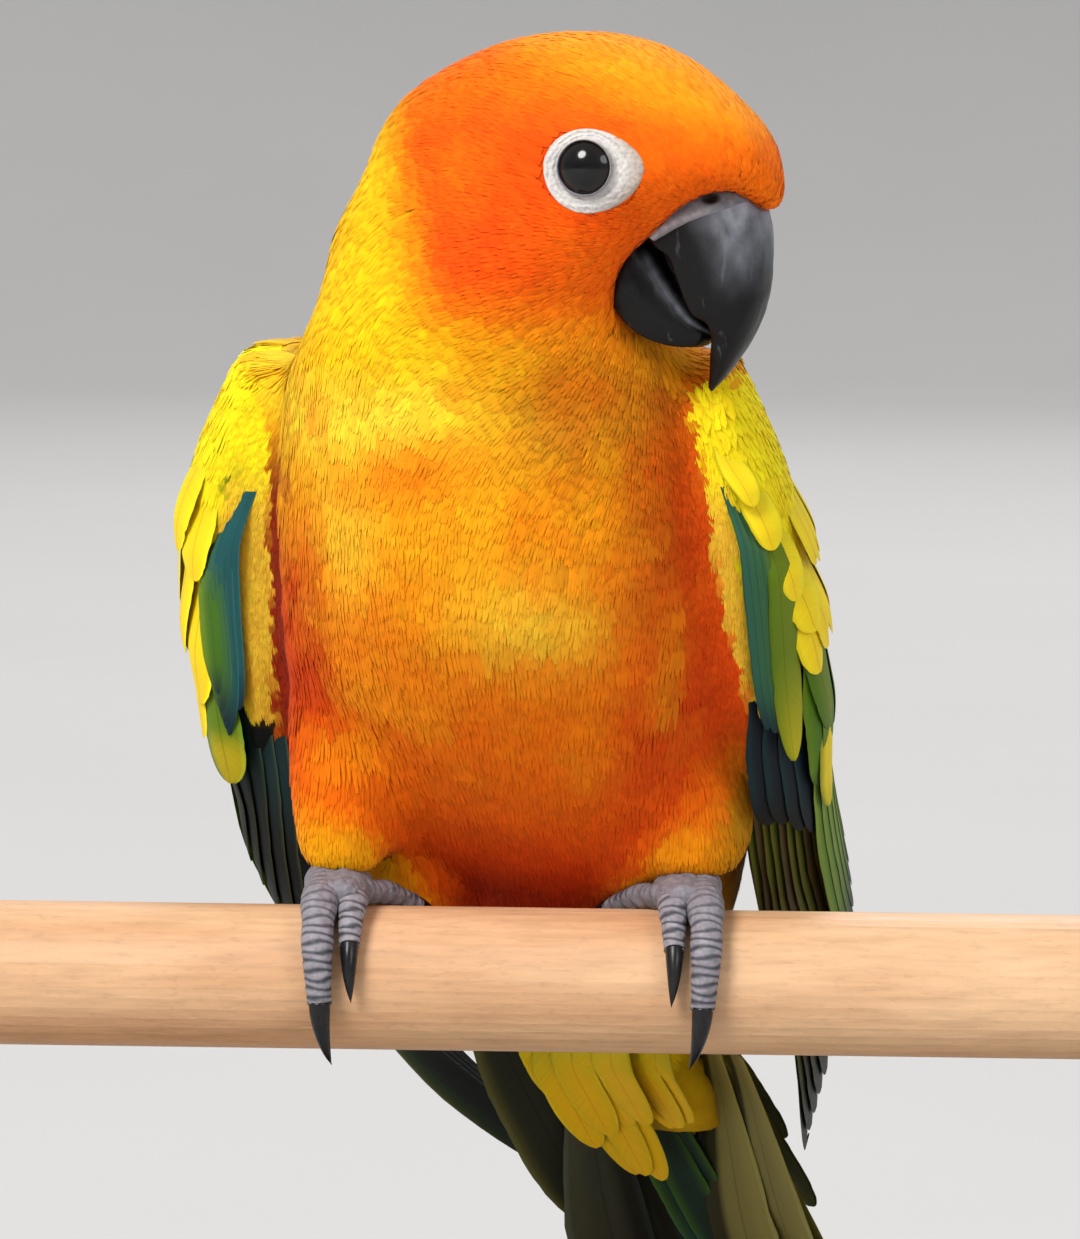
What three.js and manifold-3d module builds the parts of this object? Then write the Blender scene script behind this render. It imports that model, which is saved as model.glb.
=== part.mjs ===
// Sun conure, life size, on a cut length of perch held by a plain display stand.
// Millimetres, +Z up. The bird looks toward -Y, its origin is the middle of the stand's underside.
import * as THREE from 'three';
import { mergeVertices } from 'three/addons/utils/BufferGeometryUtils.js';
import Module from 'manifold-3d';

const wasm = await Module();
wasm.setup();

// Driving dimensions
const GAP = 0.3; // between neighbouring pieces
const PERCH_RADIUS = 9;
const PERCH_LENGTH = 188;
const PERCH_SIDES = 40;
const BASE = { width: 204, depth: 180, thick: 12, corner: 16, bevel: 1.2 };
const ROD_RADIUS = 4;
const ROD_INSET = 9; // from each end of the perch
const TAIL_CLEARANCE = 8; // under the longest tail feather
const BODY_TURN = 20; // degrees, the front of the body toward -X
const BODY_X = -1.8; // where the body's middle plane crosses the perch
const HEAD_TURN = 67; // degrees, the face toward +X
const HEAD = { x: 6, y: -13, z: 100 }; // middle of the head above the perch's axis
const EYE_RADIUS = 4.2;
const TAIL_TURN = 33; // degrees, its tip toward +X
const TAIL_DROP = 47; // degrees below level
const TAIL_LENGTH = 134;
const VANE_THICK = 0.56;

const radians = THREE.MathUtils.degToRad;
const v3 = (x, y, z) => new THREE.Vector3(x, y, z);
const lerp = THREE.MathUtils.lerp;
const smooth = (x) => THREE.MathUtils.smoothstep(x, 0, 1);

// Sum of scaled vectors: along(p, a, 2, b, 3) is p + 2a + 3b.
function along(start, ...terms) {
  const out = start.clone();
  for (let i = 0; i < terms.length; i += 2) out.addScaledVector(terms[i], terms[i + 1]);
  return out;
}

// Axes of the perch's frame: the origin on the perch's axis, under the bird
const UP = v3(0, 0, 1);
const bodySide = v3(Math.cos(radians(BODY_TURN)), -Math.sin(radians(BODY_TURN)), 0);
const bodyBack = v3(Math.sin(radians(BODY_TURN)), Math.cos(radians(BODY_TURN)), 0);
const bodyFront = bodyBack.clone().negate();
const bodyPoint = (side, back, up) => along(v3(BODY_X, 0, up), bodySide, side, bodyBack, back);

const headForward = v3(Math.sin(radians(HEAD_TURN)), -Math.cos(radians(HEAD_TURN)), 0);
const headRight = v3(-Math.cos(radians(HEAD_TURN)), -Math.sin(radians(HEAD_TURN)), 0);
const headPoint = (forward, right, up) =>
  along(v3(HEAD.x, HEAD.y, HEAD.z), headForward, forward, headRight, right, UP, up);

// Catmull-Rom value of numbers given at even or uneven stops
function track(stops, values, at) {
  const last = stops.length - 1;
  const t = Math.min(Math.max(at, stops[0]), stops[last]);
  let i = 0;
  while (i < last - 1 && t > stops[i + 1]) i++;
  const slope = (k) => {
    const a = Math.max(k - 1, 0);
    const b = Math.min(k + 1, last);
    return (values[b] - values[a]) / (stops[b] - stops[a]);
  };
  const span = stops[i + 1] - stops[i];
  const f = (t - stops[i]) / span;
  const f2 = f * f;
  const f3 = f2 * f;
  return (2 * f3 - 3 * f2 + 1) * values[i] + (f3 - 2 * f2 + f) * span * slope(i)
    + (3 * f2 - 2 * f3) * values[i + 1] + (f3 - f2) * span * slope(i + 1);
}

// Closed bodies from points and triangles

function signedVolume(points, faces) {
  let sum = 0;
  for (const [a, b, c] of faces) sum += points[a].dot(points[b].clone().cross(points[c]));
  return sum / 6;
}

function closedGeometry(points, faces) {
  const turned = signedVolume(points, faces) < 0;
  const geometry = new THREE.BufferGeometry().setFromPoints(points);
  geometry.setIndex(faces.flatMap(([a, b, c]) => (turned ? [a, c, b] : [a, b, c])));
  return geometry;
}

// A skin over rings of equal count, each end closed to its middle
function loft(rings) {
  const count = rings[0].length;
  const points = rings.flat();
  const faces = [];
  for (let r = 0; r < rings.length - 1; r++) {
    for (let i = 0; i < count; i++) {
      const j = (i + 1) % count;
      const [a, b] = [r * count + i, r * count + j];
      faces.push([a, b, b + count], [a, b + count, a + count]);
    }
  }
  for (const [ring, flip] of [[0, true], [rings.length - 1, false]]) {
    const middle = v3(0, 0, 0);
    rings[ring].forEach((p) => middle.addScaledVector(p, 1 / count));
    const m = points.push(middle) - 1;
    for (let i = 0; i < count; i++) {
      const a = ring * count + i;
      const b = ring * count + (i + 1) % count;
      faces.push(flip ? [m, b, a] : [m, a, b]);
    }
  }
  return closedGeometry(points, faces);
}

// A thin vane: three points across each station, both faces split into triangles alike
function vaneGeometry(stations) {
  const points = stations.flatMap((s) => [...s.top, ...s.bottom]);
  const faces = [];
  const quad = (a, b, c, d) => faces.push([a, b, c], [a, c, d]);
  for (let r = 0; r < stations.length - 1; r++) {
    const n = r * 6;
    const m = n + 6;
    for (let k = 0; k < 2; k++) {
      quad(n + k, n + k + 1, m + k + 1, m + k);
      faces.push([n + 3 + k, m + 4 + k, n + 4 + k], [n + 3 + k, m + 3 + k, m + 4 + k]);
    }
    quad(n + 3, n, m, m + 3);
    quad(n + 2, n + 5, m + 5, m + 2);
  }
  for (const [n, flip] of [[0, false], [(stations.length - 1) * 6, true]]) {
    for (const k of [0, 1]) {
      const [a, b, c, d] = [n + k, n + 3 + k, n + 4 + k, n + 1 + k];
      faces.push(...(flip ? [[a, c, b], [a, d, c]] : [[a, b, c], [a, c, d]]));
    }
  }
  return closedGeometry(points, faces);
}

function solidOf(geometry) {
  const bare = geometry.clone();
  bare.deleteAttribute('normal');
  bare.deleteAttribute('uv');
  const merged = mergeVertices(bare, 1e-4);
  return new wasm.Manifold(new wasm.Mesh({
    numProp: 3,
    vertProperties: new Float32Array(merged.attributes.position.array),
    triVerts: new Uint32Array(merged.index.array),
  }));
}

function geometryOf(solid) {
  const mesh = solid.getMesh();
  const geometry = new THREE.BufferGeometry();
  geometry.setAttribute('position', new THREE.BufferAttribute(mesh.vertProperties, 3));
  geometry.setIndex(new THREE.BufferAttribute(mesh.triVerts, 1));
  return geometry;
}

function largest(solid) {
  return solid.decompose().reduce((a, b) => (b.volume() > a.volume() ? b : a));
}

const joined = (solids) => solids.reduce((a, b) => a.add(b));
const placed = (geometry, at) => solidOf(geometry.translate(at.x, at.y, at.z));

// The half space on the side that normal points to, as a large block whose face passes through point
function beyond(point, normal) {
  const size = 600;
  const block = new THREE.BoxGeometry(size, size, size);
  const turn = new THREE.Quaternion().setFromUnitVectors(UP, normal.clone().normalize());
  const middle = along(point, normal.clone().normalize(), size / 2);
  return solidOf(block.applyMatrix4(new THREE.Matrix4().compose(middle, turn, v3(1, 1, 1))));
}

// Trunk: one smooth body from the root of the tail to the crown, parted afterwards
const RING_SIDES = 28;
const onBody = (back, z) => {
  const p = bodyPoint(0, back, z);
  return { x: p.x, y: p.y, z };
};
// Each station leans toward the body's front by lean and faces turn, with its reach each way
const TRUNK = [
  { ...onBody(46, -18), lean: 40, turn: -BODY_TURN, front: 6, back: 7, side: 9 },
  { ...onBody(37, -2), lean: 37, turn: -BODY_TURN, front: 14, back: 12, side: 19 },
  { ...onBody(25, 18), lean: 33, turn: -BODY_TURN, front: 18, back: 18, side: 27 },
  { ...onBody(11, 40), lean: 31, turn: -BODY_TURN, front: 25, back: 22, side: 30.5 },
  { ...onBody(1, 58), lean: 25, turn: -BODY_TURN, front: 27, back: 23, side: 30 },
  { ...onBody(-4, 72), lean: 14, turn: -BODY_TURN, front: 24, back: 21, side: 27 },
  { x: -3, y: -6, z: 80, lean: 6, turn: 10, front: 21.5, back: 20.5, side: 25 },
  { x: -2, y: -8, z: 86, lean: 2, turn: 45, front: 20.5, back: 24, side: 22 },
  { x: 3, y: -11.5, z: 93, lean: 0, turn: HEAD_TURN, front: 19, back: 27.2, side: 18.2 },
  { x: 6, y: -13, z: 100, lean: 0, turn: HEAD_TURN, front: 26.8, back: 26.5, side: 17.5 },
  { x: 6, y: -13, z: 105, lean: 0, turn: HEAD_TURN, front: 27.3, back: 24.6, side: 17.2 },
  { x: 6, y: -13, z: 110, lean: 0, turn: HEAD_TURN, front: 22.5, back: 21, side: 15 },
  { x: 6.3, y: -13, z: 114, lean: 0, turn: HEAD_TURN, front: 17, back: 15, side: 11.6 },
  { x: 7, y: -13, z: 116.8, lean: 0, turn: HEAD_TURN, front: 10.5, back: 9, side: 7.4 },
  { x: 7.5, y: -13, z: 118, lean: 0, turn: HEAD_TURN, front: 4, back: 3, side: 2.6 },
];
const TRUNK_STEPS = 2; // rings to a station

function trunkRing(at, grow) {
  const stops = TRUNK.map((_, i) => i);
  const value = (name) => track(stops, TRUNK.map((s) => s[name]), at);
  const lean = radians(value('lean'));
  const turn = radians(value('turn') + BODY_TURN);
  const forward = along(v3(0, 0, 0), bodyFront, Math.cos(lean), UP, -Math.sin(lean));
  const middle = v3(value('x'), value('y'), value('z'));
  const [front, back, side] = ['front', 'back', 'side'].map((name) => value(name) + grow);
  return Array.from({ length: RING_SIDES }, (_, i) => {
    const angle = (i / RING_SIDES) * 2 * Math.PI;
    const ahead = Math.cos(angle - turn);
    const aside = Math.sin(angle - turn);
    const reach = 1 / Math.hypot(ahead / (ahead > 0 ? front : back), aside / side);
    return along(middle, forward, reach * Math.cos(angle), bodySide, reach * Math.sin(angle));
  });
}

function trunkSolid(grow = 0) {
  const count = (TRUNK.length - 1) * TRUNK_STEPS;
  const rings = Array.from({ length: count + 1 }, (_, i) => trunkRing(i / TRUNK_STEPS, grow));
  return solidOf(loft(rings));
}

// Planes that part the trunk: tail root, base of the neck, under the jaw
const TAIL_CUT = { point: bodyPoint(0, 44, -13), normal: v3(0, 0, 0) };
TAIL_CUT.normal.addScaledVector(bodyBack, Math.cos(radians(55))).addScaledVector(UP, -Math.sin(radians(55)));
const NECK_CUT = { point: bodyPoint(0, -6, 71), normal: along(UP, bodyFront, 0.28).normalize() };
const HEAD_CUT = { point: headPoint(0, 0, -15), normal: along(UP, headForward, -0.12).normalize() };

const above = (cut, gap) => beyond(along(cut.point, cut.normal, gap / 2), cut.normal);
const below = (cut, gap) =>
  beyond(along(cut.point, cut.normal, -gap / 2), cut.normal.clone().negate());

// Bill: stations from the face to the tip, each with its outer and inner point and half width
const UPPER_BILL = [
  { out: [19, 2.5], inn: [11.5, -4.5], half: 6.3 },
  { out: [23.4, -0.4], inn: [13.2, -7.2], half: 6.7 },
  { out: [25.7, -4.4], inn: [14.9, -10.4], half: 6.5 },
  { out: [26.1, -9.2], inn: [17.0, -13.6], half: 5.7 },
  { out: [25.3, -14.2], inn: [19.0, -16.8], half: 4.5 },
  { out: [23.6, -18.6], inn: [19.4, -19.0], half: 3.1 },
  { out: [21.6, -21.8], inn: [19.1, -21.3], half: 1.9 },
  { out: [19.5, -24.4], inn: [18.7, -23.6], half: 0.6 },
];
const LOWER_BILL = [
  { out: [15.0, -3.5], inn: [6.5, -11.0], half: 6.4 },
  { out: [16.3, -8.0], inn: [8.6, -15.2], half: 6.3 },
  { out: [18.4, -12.0], inn: [11.4, -18.4], half: 5.6 },
  { out: [20.4, -15.8], inn: [15.6, -19.9], half: 4.2 },
  { out: [20.6, -18.6], inn: [19.0, -19.8], half: 1.4 },
];
const BILL_SIDES = 12;
const BILL_STEPS = 2;

function billSolid(stations, grow = 0) {
  const stops = stations.map((_, i) => i);
  const read = (at, pick) => track(stops, stations.map(pick), at);
  const count = (stations.length - 1) * BILL_STEPS;
  const rings = Array.from({ length: count + 1 }, (_, r) => {
    const at = r / BILL_STEPS;
    const out = [read(at, (s) => s.out[0]), read(at, (s) => s.out[1])];
    const inn = [read(at, (s) => s.inn[0]), read(at, (s) => s.inn[1])];
    const half = read(at, (s) => s.half) + grow;
    const span = Math.hypot(out[0] - inn[0], out[1] - inn[1]);
    const stretch = (span / 2 + grow) / (span / 2);
    return Array.from({ length: BILL_SIDES }, (_, i) => {
      const angle = ((i + 0.5) / BILL_SIDES) * 2 * Math.PI;
      const reach = Math.cos(angle) * stretch;
      const ahead = (out[0] + inn[0]) / 2 + reach * (out[0] - inn[0]) / 2;
      const up = (out[1] + inn[1]) / 2 + reach * (out[1] - inn[1]) / 2;
      return headPoint(ahead, half * Math.sin(angle), up);
    });
  });
  return solidOf(loft(rings));
}

// The cere is the bill's root above this plane
const CERE_CUT = {
  point: headPoint(24.6, 0, -2.6),
  normal: along(v3(0, 0, 0), UP, 1, headForward, -0.36).normalize(),
};
const NOSTRIL = { forward: 21.2, side: 3.6, up: -0.6, radius: 0.9, depth: 1.6 };

function nostril(side) {
  const hole = new THREE.CylinderGeometry(NOSTRIL.radius, NOSTRIL.radius, 8, 10);
  const out = along(v3(0, 0, 0), headRight, side * 0.75, UP, 0.62, headForward, 0.25).normalize();
  const mouth = headPoint(NOSTRIL.forward, side * NOSTRIL.side, NOSTRIL.up);
  const turn = new THREE.Quaternion().setFromUnitVectors(v3(0, 1, 0), out);
  const middle = along(mouth, out, 4 - NOSTRIL.depth);
  return solidOf(hole.applyMatrix4(new THREE.Matrix4().compose(middle, turn, v3(1, 1, 1))));
}

// Eyes: a ball in a socket, with a ring of bare lid skin that stands a little proud of the face
const EYE = { forward: 8.7, side: 13.5, up: 1.6 };
const LID = { forward: 5.7, up: 5.0, shift: 0.7, inner: 3.35, sides: 16 };

function eyeMiddle(side) {
  return headPoint(EYE.forward, side * EYE.side, EYE.up);
}

function eyeBall(side, grow = 0) {
  const ball = new THREE.SphereGeometry(EYE_RADIUS + grow, 14, 10);
  return placed(ball, eyeMiddle(side));
}

// The lid's ring is lofted round the eye between an inner hoop on the ball and an outer hoop on the face
function lidSolid(side, grow = 0) {
  const outward = along(v3(0, 0, 0), headRight, side, headForward, 0.2).normalize();
  const across = along(v3(0, 0, 0), headForward, 1, headRight, -side * 0.2).normalize();
  const middle = eyeMiddle(side);
  const points = [];
  const faces = [];
  const count = LID.sides;
  for (let i = 0; i < count; i++) {
    const angle = (i / count) * 2 * Math.PI;
    const [c, s] = [Math.cos(angle), Math.sin(angle)];
    const hoop = (half, tall, shift, out) =>
      points.push(along(middle, across, half * c + shift, UP, tall * s, outward, out));
    const inner = LID.inner - grow;
    hoop(inner, inner, 0, 3.1 + grow);
    hoop(inner, inner, 0, 1.2 - grow);
    hoop(LID.forward + grow, LID.up + grow, LID.shift, -0.4 - grow);
    hoop(LID.forward + grow, LID.up + grow, LID.shift, 2.3 + grow);
    hoop(inner + 1.3, inner + 1.2, 0.2, 3.4 + grow);
  }
  for (let i = 0; i < count; i++) {
    const j = (i + 1) % count;
    for (let k = 0; k < 5; k++) {
      const m = (k + 1) % 5;
      const [a, b, c, d] = [i * 5 + k, i * 5 + m, j * 5 + m, j * 5 + k];
      faces.push([a, b, c], [a, c, d]);
    }
  }
  return solidOf(closedGeometry(points, faces));
}

// Wings: a curved patch that runs from the bend of the wing to its tip
// Back and up give its outermost line, reach its distance from the body's middle plane.
const nameOf = (side) => (side > 0 ? 'left' : 'right');
const WING_STOPS = [0, 20, 42, 72, 110, 152];
const WING_BACK = [-1, 3, 11, 25, 50, 81];
const WING_UP = [80, 60, 39, 13, -15, -43];
const WING_REACH = {
  right: [35.5, 43.8, 43, 44, 37, 19.5],
  left: [31.5, 37.2, 37.6, 36.4, 33, 24],
};
const WING_FORE_CURVE = [13, 14, 15, 17, 26, 60]; // radius ahead of the line
const WING_REAR_CURVE = [18, 24, 26, 28, 40, 60]; // radius behind the line
const WING_LIFT = { left: 9, right: 0 }; // how much higher the tip is held
const WING_WRAP = { left: 0.6, right: 1 }; // how far its front edge comes round the breast

function wingFrame(side, u) {
  const name = nameOf(side);
  const lift = WING_LIFT[name];
  const rise = (z, i) => z + lift * smooth(WING_STOPS[i] / 152);
  const up = (t) => track(WING_STOPS, WING_UP.map(rise), t);
  const back = (t) => track(WING_STOPS, WING_BACK, t);
  const step = 0.5;
  const run = v3(0, back(u + step) - back(u - step), up(u + step) - up(u - step)).normalize();
  return {
    back: back(u),
    up: up(u),
    reach: track(WING_STOPS, WING_REACH[name], u),
    rear: [-run.z, run.y], // toward the back, square to the line, as back and up
    fore: track(WING_STOPS, WING_FORE_CURVE, u),
    aft: track(WING_STOPS, WING_REAR_CURVE, u),
  };
}

// Point of the patch: u along, v across toward the back, h outward in the direction met at v = lead
function wingPoint(side, u, v, h, lead = v) {
  const f = wingFrame(side, u);
  const radius = v < 0 ? f.fore : f.aft;
  const angle = v / radius;
  const leadAngle = lead / (lead < 0 ? f.fore : f.aft);
  const across = radius * Math.sin(angle) + h * Math.sin(leadAngle);
  const out = f.reach - radius * (1 - Math.cos(angle)) + h * Math.cos(leadAngle);
  return bodyPoint(side * out, f.back + f.rear[0] * across, f.up + f.rear[1] * across);
}

const CORE_STOPS = [-6, -2, 6, 20, 42, 58];
const CORE_FORE = [-3, -8, -14, -19, -20, -14];
const CORE_REAR = [2, 7, 17, 34, 43, 39];
const CORE_THICK = [2, 6, 12, 15, 15, 10];
const CORE_SINK = [5, 2, 0.6, 0, 0, 0];

function wingCore(side) {
  const wrap = WING_WRAP[nameOf(side)];
  const rings = [-6, -2, 4, 14, 28, 42, 58].map((u) => {
    const fore = wrap * track(CORE_STOPS, CORE_FORE, u);
    const rear = track(CORE_STOPS, CORE_REAR, u);
    const thick = track(CORE_STOPS, CORE_THICK, u);
    const sink = track(CORE_STOPS, CORE_SINK, u);
    const outer = Array.from({ length: 8 }, (_, i) => wingPoint(side, u, lerp(fore, rear, i / 7), -sink));
    const inner = Array.from({ length: 5 }, (_, i) =>
      wingPoint(side, u, lerp(rear - 2, fore + 2, i / 4), -sink - thick, 0));
    return [...outer, ...inner];
  });
  return solidOf(loft(rings));
}

// Stations of a vane: share of the length, share of the half width
const LONG_VANE = [[0, 0.55], [0.3, 0.95], [0.68, 1], [0.9, 0.72], [1, 0.2]];
const SHORT_VANE = [[0, 0.6], [0.5, 1], [0.85, 0.86], [1, 0.4]];

function wingVane(side, f) {
  const profile = f.short ? SHORT_VANE : LONG_VANE;
  const tilt = Math.tan(radians(f.tilt));
  const stations = profile.map(([share, width]) => {
    const u = lerp(f.root, f.tip, share);
    const v = lerp(f.rootAcross, f.tipAcross, share);
    const h = lerp(f.rootHeight ?? f.height, f.height, smooth(Math.min(share / 0.4, 1)));
    const half = f.half * width;
    const row = (offset) => [-half, 0, half].map((x) =>
      wingPoint(side, u, v + x, h - x * tilt + offset, f.lead));
    return { top: row(VANE_THICK / 2), bottom: row(-VANE_THICK / 2) };
  });
  return solidOf(vaneGeometry(stations));
}

const PRIMARY_TIPS = [110, 123, 134, 143, 149, 152];
const SECONDARY_TIPS = [100, 96, 91, 86];
const TERTIAL_TIPS = [81, 76, 69];

function wingFeathers(wrap) {
  const feathers = [];
  PRIMARY_TIPS.forEach((tip, i) => feathers.push({
    root: 48, tip, rootAcross: lerp(0, -12 * wrap, i / 5), tipAcross: lerp(5, -3, i / 5),
    height: -2.0 - 0.92 * i, half: 6, tilt: 6, lead: lerp(2.5, -7.5 * wrap, i / 5),
  }));
  SECONDARY_TIPS.forEach((tip, j) => feathers.push({
    root: 48, tip, rootAcross: 6 + 5 * j, tipAcross: 8 + 4 * j,
    height: -0.9, half: 6.4, tilt: 13, lead: 7 + 4.5 * j,
  }));
  TERTIAL_TIPS.forEach((tip, j) => feathers.push({
    root: 46, tip, rootAcross: 26 + 5 * j, tipAcross: 24.5 + 4.8 * j,
    height: -0.8, half: 6.2, tilt: 13, lead: 25 + 5 * j,
  }));
  return feathers;
}

const COVERT_ROWS = [
  { count: 6, root: 38, tip: 64, from: 2, to: 40, heights: [1.4, 1.7], half: 5.2, tilt: 9 },
  { count: 4, root: 40, tip: 72, from: -13, to: -3.5, heights: [-4.4, -0.8], half: 3, tilt: 6 },
  { count: 6, root: 20, tip: 44, from: -12, to: 36, heights: [1.4, 1.6], half: 5.8, tilt: 8 },
];

function covertFeathers(wrap) {
  return COVERT_ROWS.flatMap((row) => Array.from({ length: row.count }, (_, i) => {
    const share = i / (row.count - 1);
    const across = lerp(row.from < 0 ? row.from * wrap : row.from, row.to, share);
    return {
      root: row.root, tip: row.tip, rootAcross: across, tipAcross: across * 0.94,
      height: lerp(...row.heights, share), rootHeight: -1, half: row.half, tilt: row.tilt, short: true,
    };
  }));
}

function wingSolid(side) {
  const wrap = WING_WRAP[nameOf(side)];
  const vanes = [...wingFeathers(wrap), ...covertFeathers(wrap)].map((f) => wingVane(side, f));
  const thigh = thighSolid(side > 0 ? LEG_X.left : LEG_X.right, GAP);
  const perch = placed(perchRound(PERCH_LENGTH, GAP), v3(0, 0, 0));
  return largest(joined([wingCore(side), ...vanes])
    .subtract(trunkSolid(GAP)).subtract(thigh).subtract(perch));
}

// Tail: twelve graduated feathers with coverts above and below, on a short root
const tailTurn = radians(TAIL_TURN);
const tailDrop = radians(TAIL_DROP);
const tailSide = v3(Math.cos(tailTurn), -Math.sin(tailTurn), 0);
const tailBack = v3(Math.sin(tailTurn), Math.cos(tailTurn), 0);
const tailRun = along(v3(0, 0, 0), tailBack, Math.cos(tailDrop), UP, -Math.sin(tailDrop));
const tailOut = along(v3(0, 0, 0), tailBack, Math.sin(tailDrop), UP, Math.cos(tailDrop));
const TAIL_ROOT = bodyPoint(3.6, 42, -10);
const TAIL_ARCH = 46; // radius across the tail
const tailPoint = (run, side, out) =>
  along(TAIL_ROOT, tailRun, run, tailSide, side, tailOut, out - side * side / (2 * TAIL_ARCH));

const TAIL_SHARES = [1, 0.95, 0.88, 0.8, 0.71, 0.62];
const tailFeathers = [-1, 1].flatMap((side) => TAIL_SHARES.map((share, k) => ({
  root: 4, tip: TAIL_LENGTH * share,
  rootSide: side * (1 + (side > 0 ? 2.4 : 1.7) * k), tipSide: side * (3 + 4.2 * k),
  out: -0.95 * (k + Math.min(k, 2) + (k < 2 && side > 0 ? 1 : 0)), half: 6.2,
})));
const covertRow = (count, root, tip, spread, out, rootOut, half) =>
  Array.from({ length: count }, (_, i) => {
    const share = (i - (count - 1) / 2) / ((count - 1) / 2);
    const stagger = (i % 2) * 0.9 * Math.sign(out);
    return {
      root, tip: tip - 7 * Math.abs(share),
      rootSide: spread * 0.6 * share, tipSide: spread * share,
      out: out + stagger, rootOut: rootOut + stagger, half, short: true,
    };
  });
const TAIL_COVERTS = [
  ...covertRow(4, 6, 52, 9, -8.0, -7.6, 5),
  ...covertRow(5, 3, 36, 11, -10.0, -9.4, 4.6),
  ...covertRow(4, 5, 38, 12, 1.4, 0.9, 5.6),
];

function tailVane(f) {
  const profile = f.short ? SHORT_VANE : [[0, 0.2], [0.3, 0.7], [0.6, 1], [0.88, 0.75], [1, 0.18]];
  const stations = profile.map(([share, width]) => {
    const run = lerp(f.root, f.tip, share);
    const side = lerp(f.rootSide, f.tipSide, share);
    const out = lerp(f.rootOut ?? f.out, f.out, smooth(Math.min(share / 0.5, 1)));
    const half = f.half * width;
    const row = (offset) => [-half, 0, half].map((x) => tailPoint(run, side + x, out + offset));
    return { top: row(VANE_THICK / 2), bottom: row(-VANE_THICK / 2) };
  });
  return solidOf(vaneGeometry(stations));
}

function tailCore() {
  const sizes = [[1, 9, 10, 7.2], [8, 10.8, 14.5, 7.4], [18, 9.8, 13, 5.8], [27, 6.5, 8, 3.8]];
  const rings = sizes.map(([run, left, right, thick]) => Array.from({ length: 16 }, (_, i) => {
    const angle = (i / 16) * 2 * Math.PI;
    const side = Math.cos(angle);
    return tailPoint(run, side * (side > 0 ? right : left), -4.4 + thick * Math.sin(angle));
  }));
  return solidOf(loft(rings));
}

function tailSolid() {
  const vanes = [...tailFeathers, ...TAIL_COVERTS].map(tailVane);
  return largest(joined([tailCore(), ...vanes]).subtract(trunkSolid(GAP)));
}

// Legs: a feathered thigh, a foot of two toes ahead and two behind, a claw on each toe
const LEG_X = { left: 22, right: -20.8 };
const THIGH_SIDES = 14;
const THIGH = [
  { y: 8, z: 44, half: 9, deep: 10, inward: 5 },
  { y: 6, z: 34, half: 9.5, deep: 10.5, inward: 2.5 },
  { y: 4, z: 24, half: 8.6, deep: 9, inward: 0.8 },
  { y: 3, z: 17.5, half: 7, deep: 7, inward: 0 },
  { y: 2.6, z: 14.6, half: 5, deep: 5, inward: 0 },
];

function thighSolid(x, grow = 0) {
  const rings = THIGH.map((s) => Array.from({ length: THIGH_SIDES }, (_, i) => {
    const angle = (i / THIGH_SIDES) * 2 * Math.PI;
    const middle = x - Math.sign(x) * s.inward;
    const [half, deep] = [s.half + grow, s.deep + grow];
    return v3(middle + half * Math.cos(angle), s.y + deep * Math.sin(angle), s.z);
  }));
  return solidOf(loft(rings));
}

// A digit bends round the perch from angle start to end, in degrees ahead of the top, and runs
// outward from one side offset to the other
const DIGITS = [
  { name: '3', start: -6, end: 98, claw: 134, from: 1.9, to: 1.4, thick: 2.0, scutes: 7 },
  { name: '2', start: -6, end: 58, claw: 98, from: -1.6, to: -1.4, thick: 1.7, scutes: 5 },
  { name: '1', start: 6, end: -26, claw: -44, from: -2, to: -12, thick: 1.6, scutes: 3 },
  { name: '4', start: 4, end: -88, claw: -114, from: 2, to: 3, thick: 1.9, scutes: 5 },
];
const CLAW_STAND = 1.6; // how far a claw's tip leaves the perch
const DIGIT_SIDES = 7;

function digitPoint(x, digit, angle, out) {
  const share = (angle - digit.start) / (digit.claw - digit.start);
  const side = x + Math.sign(x) * lerp(digit.from, digit.to, share);
  const radius = PERCH_RADIUS + GAP + digit.thick + out;
  return v3(side, -radius * Math.sin(radians(angle)), radius * Math.cos(radians(angle)));
}

function digitRing(x, digit, angle, half, scute, stand = 0) {
  const middle = digitPoint(x, digit, angle, stand);
  const outward = v3(0, -Math.sin(radians(angle)), Math.cos(radians(angle)));
  return Array.from({ length: DIGIT_SIDES }, (_, i) => {
    const turn = ((i + 0.5) / DIGIT_SIDES) * 2 * Math.PI;
    const raise = Math.sin(turn) > 0 ? scute : 0;
    const reach = half + raise;
    return along(middle, v3(1, 0, 0), reach * Math.cos(turn), outward, reach * Math.sin(turn));
  });
}

function digitSolid(x, digit) {
  const rings = [];
  for (let i = 0; i < digit.scutes; i++) {
    const at = (share) => lerp(digit.start, digit.end, (i + share) / digit.scutes);
    const half = digit.thick * lerp(1, 0.86, i / digit.scutes);
    rings.push(digitRing(x, digit, at(0), half * 0.93, 0));
    rings.push(digitRing(x, digit, at(0.3), half, 0.26));
  }
  rings.push(digitRing(x, digit, digit.end, digit.thick * 0.8, 0));
  return solidOf(loft(rings));
}

function clawSolid(x, digit) {
  const begin = digit.end + Math.sign(digit.claw) * 2.2;
  const rings = [0, 0.35, 0.7, 1].map((share) => {
    const angle = lerp(begin, digit.claw, share);
    const half = digit.thick * lerp(0.72, 0.1, share ** 1.3);
    return digitRing(x, digit, angle, half, 0, CLAW_STAND * share * share);
  });
  return solidOf(loft(rings));
}

function perchRound(length, grow) {
  const radius = PERCH_RADIUS + grow;
  return new THREE.CylinderGeometry(radius, radius, length, PERCH_SIDES).rotateZ(Math.PI / 2);
}

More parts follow.
